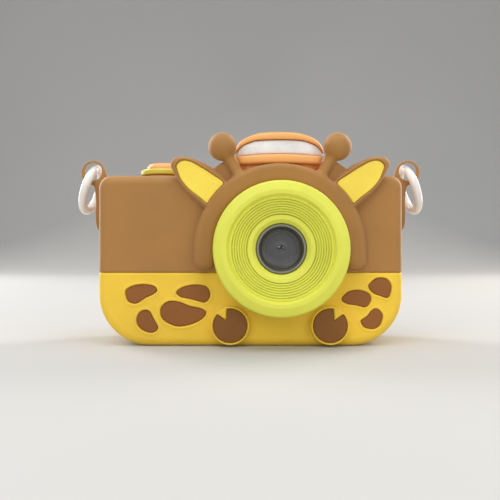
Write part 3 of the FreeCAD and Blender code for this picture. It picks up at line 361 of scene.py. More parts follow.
def grid(lo, hi, h):
    h = h * COARSE
    axes = [np.arange(a - 3 * h, b + 3.5 * h, h, dtype=F32) for a, b in zip(lo, hi)]
    return axes[0][:, None, None], axes[1][None, :, None], axes[2][None, None, :], h


def surface(name, field, x, y, z, h, material, body, replaces, faces=None, sharp=42):
    shape = (x.size, y.size, z.size)
    d = np.clip(np.broadcast_to(field, shape), -3 * h, 3 * h).astype(np.float32)
    vdb = openvdb.FloatGrid(3 * h)
    vdb.copyFromArray(np.ascontiguousarray(d))
    pts, tris, quads = vdb.convertToPolygons(isovalue=0.0, adaptivity=0.0)
    pts = np.asarray(pts, float) * h + np.array([x.flat[0], y.flat[0], z.flat[0]])
    polys = [tuple(int(v) for v in q) for q in np.asarray(quads)] + [tuple(int(v) for v in t) for t in np.asarray(tris)]
    me = bpy.data.meshes.new(name)
    me.from_pydata((pts * MM).tolist(), [], polys)
    me.validate()
    ob = bpy.data.objects.new(name, me)
    bpy.context.scene.collection.objects.link(ob)
    finish_mesh(ob, material, faces, sharp)
    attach(ob, body)
    if replaces:
        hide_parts(*([replaces] if isinstance(replaces, str) else replaces))
    return ob


def volume(me):
    n = len(me.vertices)
    co = np.empty(n * 3)
    me.vertices.foreach_get("co", co)
    co = co.reshape(-1, 3)
    me.calc_loop_triangles()
    t = np.empty(len(me.loop_triangles) * 3, np.int32)
    me.loop_triangles.foreach_get("vertices", t)
    t = t.reshape(-1, 3)
    a, b, c = co[t[:, 0]], co[t[:, 1]], co[t[:, 2]]
    return float(np.einsum("ij,ij->i", a, np.cross(b, c)).sum() / 6)


def finish_mesh(ob, material, faces=None, sharp=42):
    me = ob.data
    if volume(me) < 0:
        me.flip_normals()
    if faces and len(me.polygons) > faces:
        mod = ob.modifiers.new("Decimate", "DECIMATE")
        mod.ratio = faces / len(me.polygons) * 0.5 if len(me.polygons[0].vertices) == 4 else faces / len(me.polygons)
        dg = bpy.context.evaluated_depsgraph_get()
        new = bpy.data.meshes.new_from_object(ob.evaluated_get(dg))
        ob.modifiers.clear()
        ob.data = new
        bpy.data.meshes.remove(me)
        me = new
        me.name = ob.name
    me.materials.clear()
    for m in (material if isinstance(material, (list, tuple)) else [material]):
        me.materials.append(m)
    me.polygons.foreach_set("use_smooth", [True] * len(me.polygons))
    if sharp:
        me.set_sharp_from_angle(angle=math.radians(sharp))
    me.update()


# ------------------------------------------------------------------- lathes
def rounded_line(pts, closed=False):
    # pts are (r, t) or (r, t, corner radius); corners become arcs
    out = []
    n = len(pts)
    for i, p in enumerate(pts):
        rad = p[2] if len(p) > 2 else 0
        if rad <= 0 or (not closed and i in (0, n - 1)):
            out.append((p[0], p[1]))
            continue
        a, b, c = Vector(pts[i - 1][:2]), Vector(p[:2]), Vector(pts[(i + 1) % n][:2])
        u, v = (a - b), (c - b)
        lu, lv = u.length, v.length
        u.normalize(); v.normalize()
        ang = u.angle(v)
        if ang > math.pi - 0.02:
            out.append((p[0], p[1]))
            continue
        cut = min(rad / math.tan(ang / 2), lu * 0.49, lv * 0.49)
        rad = cut * math.tan(ang / 2)
        mid = (u + v).normalized()
        cen = b + mid * (rad / math.sin(ang / 2))
        s, e = b + u * cut, b + v * cut
        a0, a1 = math.atan2(s.y - cen.y, s.x - cen.x), math.atan2(e.y - cen.y, e.x - cen.x)
        d = (a1 - a0 + math.pi) % (2 * math.pi) - math.pi
        steps = max(3, int(abs(d) / 0.22))
        for k in range(steps + 1):
            t = a0 + d * k / steps
            out.append((cen.x + rad * math.cos(t), cen.y + rad * math.sin(t)))
    return out


def lathe(name, prof, at, axis, material, body, replaces=None, turns=160, sharp=35, closed=True):
    # prof is a closed outline of (radius, distance along axis); points on the axis have radius 0
    line = rounded_line(prof, closed=closed)
    axis = Vector(axis).normalized()
    side = axis.orthogonal().normalized()
    up = axis.cross(side)
    at = Vector(at)
    verts, rings = [], []
    for r, t in line:
        if r < 1e-6:
            verts.append(tuple((at + axis * t) * MM))
            rings.append([len(verts) - 1])
        else:
            row = []
            for k in range(turns):
                a = 2 * math.pi * k / turns
                verts.append(tuple((at + axis * t + (side * math.cos(a) + up * math.sin(a)) * r) * MM))
                row.append(len(verts) - 1)
            rings.append(row)
    faces = []
    for i in range(len(rings)):
        a, b = rings[i], rings[(i + 1) % len(rings)]
        if len(a) == 1 and len(b) == 1:
            continue
        for k in range(turns):
            j = (k + 1) % turns
            if len(a) == 1:
                faces.append((a[0], b[j], b[k]))
            elif len(b) == 1:
                faces.append((a[k], a[j], b[0]))
            else:
                faces.append((a[k], a[j], b[j], b[k]))
    me = bpy.data.meshes.new(name)
    me.from_pydata(verts, [], faces)
    me.validate()
    ob = bpy.data.objects.new(name, me)
    bpy.context.scene.collection.objects.link(ob)
    finish_mesh(ob, material, None, sharp)
    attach(ob, body)
    if replaces:
        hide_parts(*([replaces] if isinstance(replaces, str) else replaces))
    return ob


# ------------------------------------------------------------------ outlines
EAR = [(-35.5, 27.8), (-33.5, 29.8), (-29.2, 29.6), (-25.8, 28.2), (-22.2, 26.3), (-17.5, 21.6), (-19.4, 15.2), (-24.2, 13.4),
       (-27.3, 15.9), (-30.3, 18.8), (-32.9, 22.2), (-34.7, 25.0)]
INLAY = [(-33.6, 26.9), (-31.8, 28.5), (-29.1, 28.3), (-25.8, 26.6), (-22.3, 24.4), (-18.3, 21.2), (-21.0, 17.6), (-23.1, 14.4),
         (-26.3, 16.7), (-29.6, 19.3), (-32.0, 22.2), (-33.2, 25.0)]
PATCHES = [
    [(-40.6, 18.6), (-40.9, 16.9), (-40.1, 14.7), (-38.2, 13.9), (-36.7, 14.2), (-34.2, 15.8), (-31.7, 17.0), (-30.5, 18.2), (-31.2, 19.5), (-32.9, 20.1), (-35.4, 20.3), (-38.2, 19.9)],
    [(-24.3, 17.5), (-24.0, 18.2), (-22.0, 19.4), (-19.2, 20.1), (-16.4, 20.1), (-14.2, 19.4), (-13.2, 17.5), (-13.5, 15.6), (-14.8, 14.3), (-16.0, 14.4), (-19.2, 15.3), (-22.6, 16.0), (-24.0, 16.9)],
    [(-29.5, 11.0), (-29.2, 12.8), (-27.6, 14.4), (-26.0, 14.8), (-23.2, 14.5), (-19.8, 13.2), (-16.4, 12.5), (-14.8, 11.6), (-14.5, 10.8), (-15.4, 9.2), (-17.9, 7.7), (-21.0, 6.7), (-24.2, 6.5), (-27.3, 7.7), (-29.0, 9.2)],
    [(-37.3, 8.2), (-37.1, 9.7), (-36.0, 11.4), (-34.3, 11.9), (-32.9, 11.4), (-31.7, 9.2), (-30.4, 6.8), (-30.3, 5.7), (-31.4, 4.6), (-32.9, 4.4), (-35.1, 5.1), (-36.7, 6.5)],
    [(38.5, 19.7), (39.1, 20.7), (40.7, 22.1), (42.3, 22.5), (44.2, 22.2), (45.5, 21.1), (46.1, 19.3), (45.8, 17.4), (45.2, 16.0), (44.2, 15.8), (42.5, 16.4), (40.5, 17.1), (39.1, 18.3)],
    [(29.7, 15.3), (30.2, 16.4), (32.0, 17.9), (34.5, 18.5), (36.3, 18.3), (38.2, 17.6), (39.3, 16.5), (39.4, 15.1), (38.8, 13.7), (37.7, 12.8), (36.6, 12.8), (34.5, 13.4), (32.2, 13.7), (30.4, 14.4)],
    [(36.0, 8.0), (36.3, 8.7), (38.2, 10.0), (39.3, 11.5), (40.7, 12.4), (42.1, 11.9), (43.1, 10.5), (43.2, 9.2), (42.5, 7.1), (40.9, 5.8), (39.1, 5.6), (37.0, 6.3)],
]
HUMP = [(-11.7, 46), (-11.9, 56.0), (-12.9, 59.4), (-14.75, 62.7), (-14.5, 65.6), (-12.2, 68.2), (-7.6, 69.95), (-3.0, 70.4),
        (3.0, 70.4), (7.6, 69.95), (12.2, 68.2), (14.5, 65.6), (14.75, 62.7), (12.9, 59.4), (11.9, 56.0), (11.7, 46)]
WINDOW = [(-14.5, 62.5), (-14.35, 63.9), (-12.6, 65.9), (-10.0, 67.1), (-6.8, 67.8), (0, 67.95), (6.8, 67.8), (10.0, 67.1),
          (12.6, 65.9), (14.35, 63.9), (14.5, 62.5), (7.0, 62.95), (0, 63.1), (-7.0, 62.95)]
SHOULDER = [(-27.5, 54.0), (-25.0, 56.2), (-22.0, 58.2), (-18.4, 60.4), (-15.7, 61.0), (-14.75, 60.9), (-13.9, 59.6), (-13.5, 57.5), (-13.45, 53.0), (-27.0, 53.0)]
HOOFS = [(LX - 16.2, 7.0), (LX + 16.2, 7.0)]
PORT_Z, PORT_HALF = 31.0, 5.4


def mirror(pts):
    return [(-x, z) for x, z in pts][::-1]


def bow(x, amount=2.6, half=15.2):
    t = (x - LX) / half
    return amount * t * t


# -------------------------------------------------------------------- sleeve
def sleeve_base(x, y, z):
    outer = extrude(rrect(x, z, 50.0, 0.0, 56.0, 17.0, 4.0), y, -15.0, 15.0, 2.9, 2.7)
    hollow = extrude(rrect(x, z, 47.3, 2.5, 52.7, 14.5, 3.3), y, -12.7, 13.5, 1.2, 0.8)
    d = smax(outer, -hollow, 0.3)
    rear = extrude(rrect(x, z, 42.0, 6.6, 49.8, 10.0, 3.0), y, 11.0, 18.0)
    d = smax(d, -rear, 1.0)
    d = smax(d, -rod_y(x, y, z, LX, LZ, 21.45, -30, -10), 0.8)
    return d


def ring_band(x, z):
    px = np.abs(x - LX)
    pz = z - LZ
    r = np.where(pz > 0, np.sqrt(px ** 2 + pz ** 2), px)
    band = np.abs(r - 24.58) - 3.12
    foot = -(pz + 6.5)
    return smax(band, foot, 3.2)


def lip_up(d2, wide=0.62, high=0.27):
    # soft raised border just outside an inlay
    t = np.clip(1 - np.abs(d2 - wide * 0.62) / wide, 0, 1)
    return (t * t * (3 - 2 * t)) * high


def port_cut(x, y, z):
    side = extrude(np.maximum(np.abs(y) - 4.9, np.abs(z - PORT_Z) - 5.7) + 0 * x, x, 44.0, 53.0)
    return side


def make_sleeve():
    h = 0.32
    # upper part
    x, y, z, hh = grid((-59.4, -20.2, 23.8), (59.4, 15.2, 70.2), h)
    d = sleeve_base(x, y, z)
    # collar that rises beside the hump, in the plane of the front wall
    x2, z2 = x[:, 0, :], z[0, :, :]
    sh = np.minimum(flat_outline(curve(SHOULDER, 5) + np.array([LX, 0]), x2, z2), flat_outline(curve(mirror(SHOULDER), 5) + np.array([LX, 0]), x2, z2))
    d = smin(d, extrude(sh[:, None, :], y, -15.2, -12.8, 1.0, 0.9), 0.8)
    # head arch
    arch = extrude(ring_band(x2, z2)[:, None, :], y, -18.6, -12.8, 1.6, 0.2)
    ears = None
    inlays = None
    for pts, ipts in ((EAR, INLAY), (mirror(EAR), mirror(INLAY))):
        e2 = flat_outline(curve(pts) + np.array([LX, LZ]), x2, z2)
        i2 = flat_outline(curve(ipts) + np.array([LX, LZ]), x2, z2)
        e = extrude(e2[:, None, :] + 0.0, y, -18.2, -14.4, 1.6, 1.4)
        ears = e if ears is None else np.minimum(ears, e)
        inlays = i2 if inlays is None else np.minimum(inlays, i2)
    # the inlay stops at the arch
    keep = np.sqrt((x2 - LX) ** 2 + (z2 - LZ) ** 2)
    inlays = np.maximum(inlays, 27.6 - keep)
    head = smin(arch, ears, 0.7)
    for s in (-1, 1):
        ball = np.sqrt((x - LX - s * 18.8) ** 2 + (y + 15.2) ** 2 + (z - 65.2) ** 2) - 4.63
        a = np.array([LX + s * 0.491 * 24.0, -15.6, LZ + 0.871 * 24.0])
        b = np.array([LX + s * 18.8, -15.3, 65.2])
        ab = b - a
        t = np.clip(((x - a[0]) * ab[0] + (y - a[1]) * ab[1] + (z - a[2]) * ab[2]) / ab.dot(ab), 0, 1)
        stem = np.sqrt((x - a[0] - ab[0] * t) ** 2 + (y - a[1] - ab[1] * t) ** 2 + (z - a[2] - ab[2] * t) ** 2) - (2.0 - 0.35 * t)
        horn = smin(ball, stem, 1.1)
        head = smin(head, horn, 1.5)
    d = smin(d, head, 0.3)
    d = np.maximum(d, -rod_y(x, y, z, LX, LZ, 21.45, -30, -10))
    # lugs with their webs
    for s in (-1, 1):
        disc = np.sqrt((x - s * 54.9) ** 2 + (z - 58.4) ** 2) - 4.25
        web = flat_outline(curve([(s * 47.0, 55.0), (s * 47.0, 38.0), (s * 49.6, 36.8), (s * 52.6, 38.0), (s * 54.0, 41.0), (s * 54.1, 50.0),
                                  (s * 55.2, 58.0), (s * 54.0, 61.6), (s * 50.6, 58.0), (s * 48.5, 55.5)], 6), x2, z2)
        lug2 = smin(disc[:, 0, :], web, 1.2)
        lug = extrude(lug2[:, None, :], y, -0.85, 0.85, 0.6, 0.6)
        d = smin(d, lug, 1.4)
        d = smax(d, -rod_y(x, y, z, s * 54.9, 58.8, 3.1, -4, 4), 0.4)
    # openings
    hump2 = flat_outline(curve(HUMP, 4) + np.array([LX, 0]), x2, z2)
    slot = np.maximum(np.maximum(np.abs(x - LX) - 15.1, 50 - z) + 0 * y, np.maximum(-12.7 - y, y - (9.3 - bow(x, 2.6))))
    d = smax(d, -slot, 0.6)
    d = smax(d, -rod_z(x, y, z, -30.2, 0, 7.35, 48, 64), 0.8)
    d = smax(d, -rod_z(x, y, z, 36.0, 0, 4.2, 48, 64), 0.8)
    d = smax(d, -port_cut(x, y, z), 0.4)
    card = extrude(np.maximum(np.abs(y - 3.0) - 2.4, np.abs(z - 30.9) - 6.5) + 0 * x, x, -54, -44)
    d = smax(d, -card, 0.8)
    # ear inlay seats
    band = (y < -14.5)
    d = np.where(band, d - lip_up(inlays)[:, None, :], d)
    d = smax(d, -extrude(inlays[:, None, :], y, -21.0, -17.35), 0.3)
    d = smax(d, (24.1 + 0.02) - z, 0.45)
    surface("silicone_sleeve_upper", d, x, y, z, hh, M["sleeve_brown"], "camera", "sleeve_upper", faces=96000, sharp=55)
    # lower part
    x, y, z, hh = grid((-50.4, -18.2, -0.3), (50.4, 15.3, 24.4), h)
    x2, z2 = x[:, 0, :], z[0, :, :]
    d = sleeve_base(x, y, z)
    for cx, cz in HOOFS:
        d = smin(d, rod_y(x, y, z, cx, cz, 6.2, -17.6, -13.2, 0.8, 0.2), 0.35)
    pat = None
    for pts in PATCHES:
        p2 = flat_outline(curve(pts), x2, z2)
        pat = p2 if pat is None else np.minimum(pat, p2)
    hoof2 = None
    for cx, cz in HOOFS:
        q = hoof_outline(x2, z2, cx, cz)
        hoof2 = q if hoof2 is None else np.minimum(hoof2, q)
    band = (y < -13.0)
    d = np.where(band, d - lip_up(np.minimum(pat, hoof2 + 60 * (hoof2 > 0.9)), 0.62, 0.27)[:, None, :], d)
    d = smax(d, -extrude(pat[:, None, :], y, -20.0, -14.15), 0.3)
    d = smax(d, -extrude(hoof2[:, None, :], y, -20.0, -16.75), 0.3)
    d = np.maximum(d, -rod_y(x, y, z, LX, LZ, 21.45, -30, -10))
    d = smax(d, z - (24.1 - 0.02), 0.45)
    surface("silicone_sleeve_lower", d, x, y, z, hh, M["sleeve_yellow"], "camera", "sleeve_lower", faces=84000, sharp=55)


def hoof_outline(x2, z2, cx, cz):
    s = -1 if cx < LX else 1
    disc = np.sqrt((x2 - cx) ** 2 + (z2 - cz) ** 2) - 5.65
    notch = flat_outline(np.array([(cx + s * 1.3, cz + 1.8), (cx + s * 5.2, cz + 4.6), (cx + s * 1.0, cz + 7.6)][::s]), x2, z2)
    return smax(disc, -notch, 0.3)


def inlay_piece(name, outline2, lo, hi, y0, y1, h, material, replaces, gap=0.10, crown=0.0):
    x, y, z, hh = grid((lo[0], y0, lo[1]), (hi[0], y1, hi[1]), h)
    x2, z2 = x[:, 0, :], z[0, :, :]
    d2 = outline2(x2, z2) + gap
    d = extrude(d2[:, None, :], y, y0, y1, 0.38, 0.05)
    return surface(name, d, x, y, z, hh, material, "camera", replaces, faces=9000, sharp=60)


def make_inlays():
    for k, pts in enumerate(PATCHES):
        p = np.array(pts)
        inlay_piece("silicone_patch_%d" % (k + 1), lambda u, v, q=pts: flat_outline(curve(q), u, v), p.min(0) - 0.3, p.max(0) + 0.3,
                                -14.82, -14.15, 0.17, M["patch_brown"], None)
    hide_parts("sleeve_patches")
    for k, (cx, cz) in enumerate(HOOFS):
        ob = inlay_piece("silicone_hoof_%d" % (k + 1), lambda u, v, a=cx, b=cz: hoof_outline(u, v, a, b), (cx - 6, cz - 6), (cx + 6, cz + 6), -17.42, -16.75, 0.17, M["hoof_brown"], None)
        if k == 0:
            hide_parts("hoof_pads")
    for k, pts in enumerate((INLAY, mirror(INLAY))):
        q = np.array(pts) + np.array([LX, LZ])

        def out(u, v, pp=pts):
            return np.maximum(flat_outline(curve(pp) + np.array([LX, LZ]), u, v), 27.6 - np.sqrt((u - LX) ** 2 + (v - LZ) ** 2))
        ob = inlay_piece("silicone_inner_ear_%d" % (k + 1), out, q.min(0) - 0.3, q.max(0) + 0.3, -18.0, -17.35, 0.17, M["ear_yellow"], None)
        if k == 0:
            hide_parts("ear_inlays")


# ----------------------------------------------------------------- hard case
KEYS = [("key_up", -29.0, 34.6), ("key_down", -29.0, 17.4), ("key_left", -37.6, 26.0), ("key_right", -20.4, 26.0), ("key_menu", -37.6, 41.0), ("key_play", -20.4, 41.0)]
SCREWS = [(-37.5, 9.5), (37.5, 9.5), (-42.0, 47.2), (42.0, 47.2)]


def case_field(x, y, z, front):
    x2, z2 = x[:, 0, :], z[0, :, :]
    d = extrude(rrect(x, z, 47.2, 2.6, 52.6, 14.4, 2.2), y, -12.6, 13.4, 1.2, 1.2)
    # hump: front outline crossed with a bowed plan
    o2 = flat_outline(curve(HUMP, 5) + np.array([LX, 0]), x2, z2)
    b = bow(x)
    # the front wall steps back under the lip
    plan = np.maximum(-(y + 14.2 - b - 1.3 * np.clip((60.4 - z) / 0.8, 0, 1)), (y - 9.0 + b))
    hump = smax(o2[:, None, :] + 0 * y, plan, 1.9)
    # behind the sleeve's front wall the hump keeps its full width down to the case
    broad = np.maximum(np.maximum(np.abs(x - LX) - 14.7 + 0 * y, np.abs(z - 55.0) - 8.0), np.maximum(-(y + 11.6 - b), y - 8.6 + b))
    hump = np.minimum(hump, broad)
    d = smin(d, hump, 0.6)
    # lip under the window
    half = 14.85 - np.maximum(0, 62.6 - z) * 0.55
    lip2 = np.maximum(np.abs(x - LX) - half, np.abs(z - (61.3 - 0.10 * b)) - 1.45)
    lip = smax(smax(lip2 + 0 * y, -(y + 15.5 - b), 1.1), y + 9.0, 0.2)
    d = smin(d, lip, 0.25)
    # button boss
    d = smin(d, rod_z(x, y, z, -30.2, 0, 7.1, 50.0, 57.1, 0.5), 0.5)
    inner = extrude(rrect(x, z, 45.4, 4.4, 50.8, 12.6, 0.6), y, -10.8, 11.6, 0.3, 0.3)
    hin = smax(smax((o2 + 1.9)[:, None, :] + 0 * y, plan + 1.9, 0.8), 49.0 - z, 0.2)
    d = smax(d, -np.minimum(inner, hin), 0.3)
    # behind the sleeve's wall and above the arch
    d = np.maximum(d, -np.maximum(np.sqrt((x - LX) ** 2 + (z - LZ) ** 2) - 28.0, y + 12.65))
    d = np.maximum(d, -np.maximum(np.maximum(z - 56.2, 48.0 - z), np.maximum(y + 12.65, np.abs(x - LX) - 20)))
    # window seat with a fine step round it
    w2 = flat_outline(curve(WINDOW, 5) + np.array([LX, 0]), x2, z2)
    win = np.maximum(w2[:, None, :] + 0 * y, y + 8.5)
    d = smax(d, -win, 0.35)
    d = smax(d, -rod_y(x, y, z, LX, LZ, 9.2, -16, -8), 0.3)
    d = smax(d, -rod_z(x, y, z, -30.2, 0, 6.15, 47, 62), 0.3)
    d = smax(d, -rod_z(x, y, z, 36.0, 0, 3.25, 47, 62), 0.3)
    usb = extrude(np.maximum(np.abs(y - 1.75) - 2.15, np.abs(z - PORT_Z) - 4.9) + 0 * x, x, 40, 50)
    d = smax(d, -usb, 0.3)
    seat = extrude(np.maximum(np.abs(y) - 4.75, np.abs(z - PORT_Z) - 5.55) + 0 * x, x, 46.6, 50)
    d = np.maximum(d, -seat)
    card = extrude(np.maximum(np.abs(y - 3.0) - 1.1, np.abs(z - PORT_Z) - 5.9) + 0 * x, x, -50, -44)
    d = smax(d, -card, 0.3)
    if front:
        d = np.maximum(d, y + 0.04)
        sp = np.sqrt((x - LX) ** 2 + (z - LZ) ** 2)
        d = np.minimum(d, np.maximum(np.abs(sp - 18.4) - 0.8, np.maximum(-15.6 - y, y + 12.0)))
    else:
        d = np.maximum(d, 0.04 - y)
        seat = extrude(rrect(x - 10.0, z, 23.0, 28.8 - 18.5, 28.8 + 18.5, 1.4, 1.4), y, 12.4, 16.0)
        view = extrude(rrect(x - 10.0, z, 20.5, 28.8 - 15.5, 28.8 + 15.5, 1.0, 1.0), y, 9.0, 16.0)
        d = smax(d, -np.minimum(seat, view), 0.35)
        for _, cx, cz in KEYS:
            d = smax(d, -rod_y(x, y, z, cx, cz, 3.3, 8, 16), 0.5)
        d = smax(d, -rod_y(x, y, z, -29.0, 26.0, 4.1, 8, 16), 0.5)
        # shallow dish round the arrow keys
        dish = np.sqrt((x + 29.0) ** 2 + (z - 26.0) ** 2 + (y - 73.0) ** 2) - 61.1
        d = smax(d, -dish, 0.5)
        for j in (-1, 0, 1):
            for i in (-2, -1, 0, 1, 2):
                if abs(i) + abs(j) < 3:
                    d = smax(d, -rod_y(x, y, z, -27.0 + 2.6 * i, 9.6 + 2.2 * j, 0.65, 9, 16), 0.25)
        for cx, cz in SCREWS:
            d = smax(d, -rod_y(x, y, z, cx, cz, 2.1, 11.8, 16), 0.3)
            d = np.maximum(d, -rod_y(x, y, z, cx, cz, 1.1, 0, 16))
    return d


def make_case():
    x, y, z, h = grid((-47.4, -15.9, 2.4), (47.4, 0.2, 70.8), 0.33)
    surface("case_front_shell", case_field(x, y, z, True), x, y, z, h, M["case_orange"], "camera", "front_shell", faces=90000, sharp=40)
    x, y, z, h = grid((-47.4, -0.2, 2.4), (47.4, 13.6, 70.8), 0.33)
    surface("case_rear_shell", case_field(x, y, z, False), x, y, z, h, M["case_orange"], "camera", "rear_shell", faces=90000, sharp=40)
    # flash window: a bowed lens with a rounded rim
    x, y, z, h = grid((LX - 14.4, -13.8, 62.4), (LX + 14.4, -9.4, 68.5), 0.2)
    w2 = flat_outline(curve(WINDOW, 5) + np.array([LX, 0]), x[:, 0, :], z[0, :, :]) + 0.12
    b = bow(x)
    crown = 0.035 * (z - 65.2) ** 2
    d = smax(w2[:, None, :] + 0 * y, -(y + 13.35 - b - crown), 0.7)
    d = smax(d, (y + 11.6 - b), 0.2)
    surface("flash_diffuser", d, x, y, z, h, M["flash_white"], "camera", "flash_window", faces=16000, sharp=50)


# ---------------------------------------------------------------- lens stack
FWD = (0, -1, 0)
LENS = (LX, 0, LZ)


def make_lens():
    F = 28.5
    pts = [(19.4, 12.7), (21.3, 12.7, 0.3), (21.3, F - 1.7, 1.1), (20.85, F - 0.95, 0.8), (18.35, F - 0.05, 0.5), (16.95, F - 0.05, 0.45),
           (16.5, F - 1.0, 0.15), (16.25, F - 1.25, 0.1), (16.0, F - 0.95, 0.15)]
    # seven turned grooves down the dish, narrow channels with rounded lands between
    for k in range(7):
        r = 15.33 - 0.76 * k
        face = F - 1.0 - 0.15 * k
        deep = 0.62 if k < 6 else 0.85
        pts += [(r + 0.21, face, 0.10), (r + 0.15, face - deep), (r - 0.15, face - deep), (r - 0.21, face - 0.04, 0.10)]
    pts += [(10.35, F - 2.05, 0.2), (9.2, F - 2.1, 0.4), (8.0, F - 3.3, 0.35), (8.0, 18.0), (9.6, 18.0), (9.6, F - 4.2), (19.4, F - 3.2)]
    lathe("lens_disc_turned", pts, LENS, FWD, M["lens_lime"], "camera", "lens_disc", turns=256, sharp=48)
    lathe("lens_bezel_turned", [(6.1, 14.0), (7.85, 14.0), (7.85, F - 3.5, 0.25), (7.55, F - 3.05, 0.25), (7.0, F - 3.1, 0.2), (6.75, F - 3.9, 0.25), (6.55, F - 4.0, 0.1),
                                (6.2, F - 5.3, 0.2), (5.2, F - 5.5, 0.12), (5.2, F - 6.15), (6.1, F - 6.2)], LENS, FWD, M["bezel_dark"], "camera", "lens_bezel", turns=192, sharp=40)
    bezel = bpy.data.objects["lens_bezel_turned"]
    # faces on the bezel's outer lip and round the cover glass get the lighter copy: painted highlight rings
    bezel.data.materials.append(M["bezel_edge"])
    for p in bezel.data.polygons:
        c = p.center
        r = math.hypot(c.x - LX * MM, c.z - LZ * MM) / MM
        if (7.05 < r < 7.75 and c.y < -(F - 3.35) * MM) or (5.15 < r < 5.42 and c.y < -(F - 5.75) * MM):
            p.material_index = 1
    g = F - 6.3
    cover = lathe("lens_cover_disc", [(0, g - 1.0), (5.85, g - 1.0, 0.1), (5.85, g, 0.22), (1.35, g, 0.12), (1.12, g - 0.34, 0.08), (0.78, g - 0.16, 0.3), (0, g - 0.06)],
                  LENS, FWD, [M["lens_glass"], M["lens_pupil"]], "camera", "lens_cover_glass", turns=144, sharp=45)
    for p in cover.data.polygons:
        c = p.center
        r = math.hypot(c.x - LX * MM, c.z - LZ * MM)
        if r < 1.13 * MM and c.y < -(g - 0.6) * MM:
            p.material_index = 1


# ------------------------------------------------------------ small controls
def make_controls():
    sx = (-30.2, 0, 0)
    top = 61.4
    lathe("shutter_cap", [(0, 47.6), (1.8, 47.6, 0.2), (1.8, 49.4), (6.7, 49.4, 0.2), (6.7, 50.4, 0.2), (5.9, 50.4), (5.9, top - 1.3, 1.2), (5.0, top - 0.25, 0.9), (3.4, top, 0.8),
                          (1.8, top - 0.18, 2.0), (0, top - 0.3)], sx, (0, 0, 1), M["button_orange"], "shutter_button", "shutter_button", turns=128, sharp=40)
    lathe("shutter_ring", [(6.15, 57.1), (7.7, 57.1, 0.2), (8.0, 57.4, 0.2), (8.0, 58.6, 0.5), (7.5, 59.1, 0.4), (6.5, 59.05, 0.3), (6.15, 58.8, 0.1)], sx, (0, 0, 1), M["button_lime"], "camera",
          "shutter_collar", turns=128, sharp=40)
    lathe("power_cap", [(0, 47.4), (1.5, 47.4), (1.5, 49.2), (3.55, 49.2, 0.1), (3.55, 50.2, 0.1), (3.0, 50.2), (3.0, 55.8, 0.5), (2.4, 56.4, 0.5), (1.35, 56.25, 0.2), (1.2, 56.05, 0.1),
                        (1.05, 56.25, 0.1), (0, 56.25)], (36.0, 0, 0), (0, 0, 1), M["button_orange"], "power_button", "power_button", turns=96, sharp=40)
    for name, cx, cz in KEYS + [("key_ok", -29.0, 26.0)]:
        rad = 3.9 if name == "key_ok" else 3.1
        mat = M["button_orange"] if name == "key_ok" else (M["button_yellow"] if name in ("key_menu", "key_play") else M["button_lime"])
        x, y, z, h = grid((cx - rad - 0.8, 7.7, cz - rad - 0.8), (cx + rad + 0.8, 14.4, cz + rad + 0.8), 0.17)
        r = np.sqrt((x - cx) ** 2 + (z - cz) ** 2)
        d = extrude(r - rad, y, 10.6, 14.3, 0.1, 0.75)
        d = np.minimum(d, extrude(r - rad - 0.7, y, 10.2, 11.2, 0.1, 0.1))
        d = np.minimum(d, extrude(r - 1.2, y, 7.9, 11.0))
        # sunk generic symbols
        x2, z2 = x[:, 0, :] - cx, z[0, :, :] - cz
        tri = np.array([(0, 1.35), (-1.25, -0.85), (1.25, -0.85)])
        turn = {"key_up": 0, "key_down": 180, "key_left": 90, "key_right": -90}
        if name in turn:
            a = math.radians(turn[name])
            q = [(px * math.cos(a) - pz * math.sin(a), px * math.sin(a) + pz * math.cos(a)) for px, pz in tri]
            mark = flat_outline(np.array(q), x2, z2)
        elif name == "key_play":
            # seen from the back the triangle points to the right, so towards -X
            mark = flat_outline(np.array([(-1.5, 0), (0.9, -1.35), (0.9, 1.35)]), x2, z2)
        elif name == "key_menu":
            mark = None
            for k in (-1, 0, 1):
                b = np.maximum(np.abs(x2) - 1.4, np.abs(z2 - k * 0.95) - 0.2)
                mark = b if mark is None else np.minimum(mark, b)
        else:
            rr = np.sqrt(x2 ** 2 + z2 ** 2)
            mark = np.abs(rr - 1.7) - 0.28
        d = smax(d, -np.maximum(mark[:, None, :] + 0 * y, 13.95 - y), 0.15)
        cap = surface(name + "_cap", d, x, y, z, h, [mat, M["key_mark"]], name, name, faces=14000, sharp=40)
        for p in cap.data.polygons:
            c = p.center / MM
            if 13.85 < c.y < 14.12 and math.hypot(c.x - cx, c.z - cz) < rad - 0.75:
                p.material_index = 1
    # screen window: dark border, picture area set in
    def loop(hw, hh, r, y, cz=28.8, n=10):
        out = []
        for sx, sz, a0 in ((1, 1, 0), (-1, 1, 90), (-1, -1, 180), (1, -1, 270)):
            for k in range(n + 1):
                a = math.radians(a0 + 90 * k / n)
                out.append(((10.0 + sx * (hw - r) + r * math.cos(a)) * MM, y * MM, (cz + sz * (hh - r) + r * math.sin(a)) * MM))
        return out
    loops = [loop(22.85, 18.35, 1.3, 12.4), loop(22.85, 18.35, 1.3, 13.25), loop(22.77, 18.27, 1.25, 13.42), loop(22.55, 18.05, 1.1, 13.5),
             loop(19.5, 14.7, 0.5, 13.5, 28.9), loop(19.4, 14.6, 0.4, 13.42, 28.9)]
    n = len(loops[0])
    faces = [tuple(range(n))]
    for k in range(len(loops) - 1):
        faces += [(k * n + i, (k + 1) * n + i, (k + 1) * n + (i + 1) % n, k * n + (i + 1) % n) for i in range(n)]
    faces.append(tuple((len(loops) - 1) * n + n - 1 - i for i in range(n)))
    me = bpy.data.meshes.new("screen_window")
    me.from_pydata([v for row in loops for v in row], [], faces)
    me.validate()
    win = bpy.data.objects.new("screen_window", me)
    scene.collection.objects.link(win)
    finish_mesh(win, [M["window_clear"], M["screen"]], None, 25)
    win.data.polygons[len(win.data.polygons) - 1].material_index = 1
    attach(win, "camera")
    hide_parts("lcd_window")
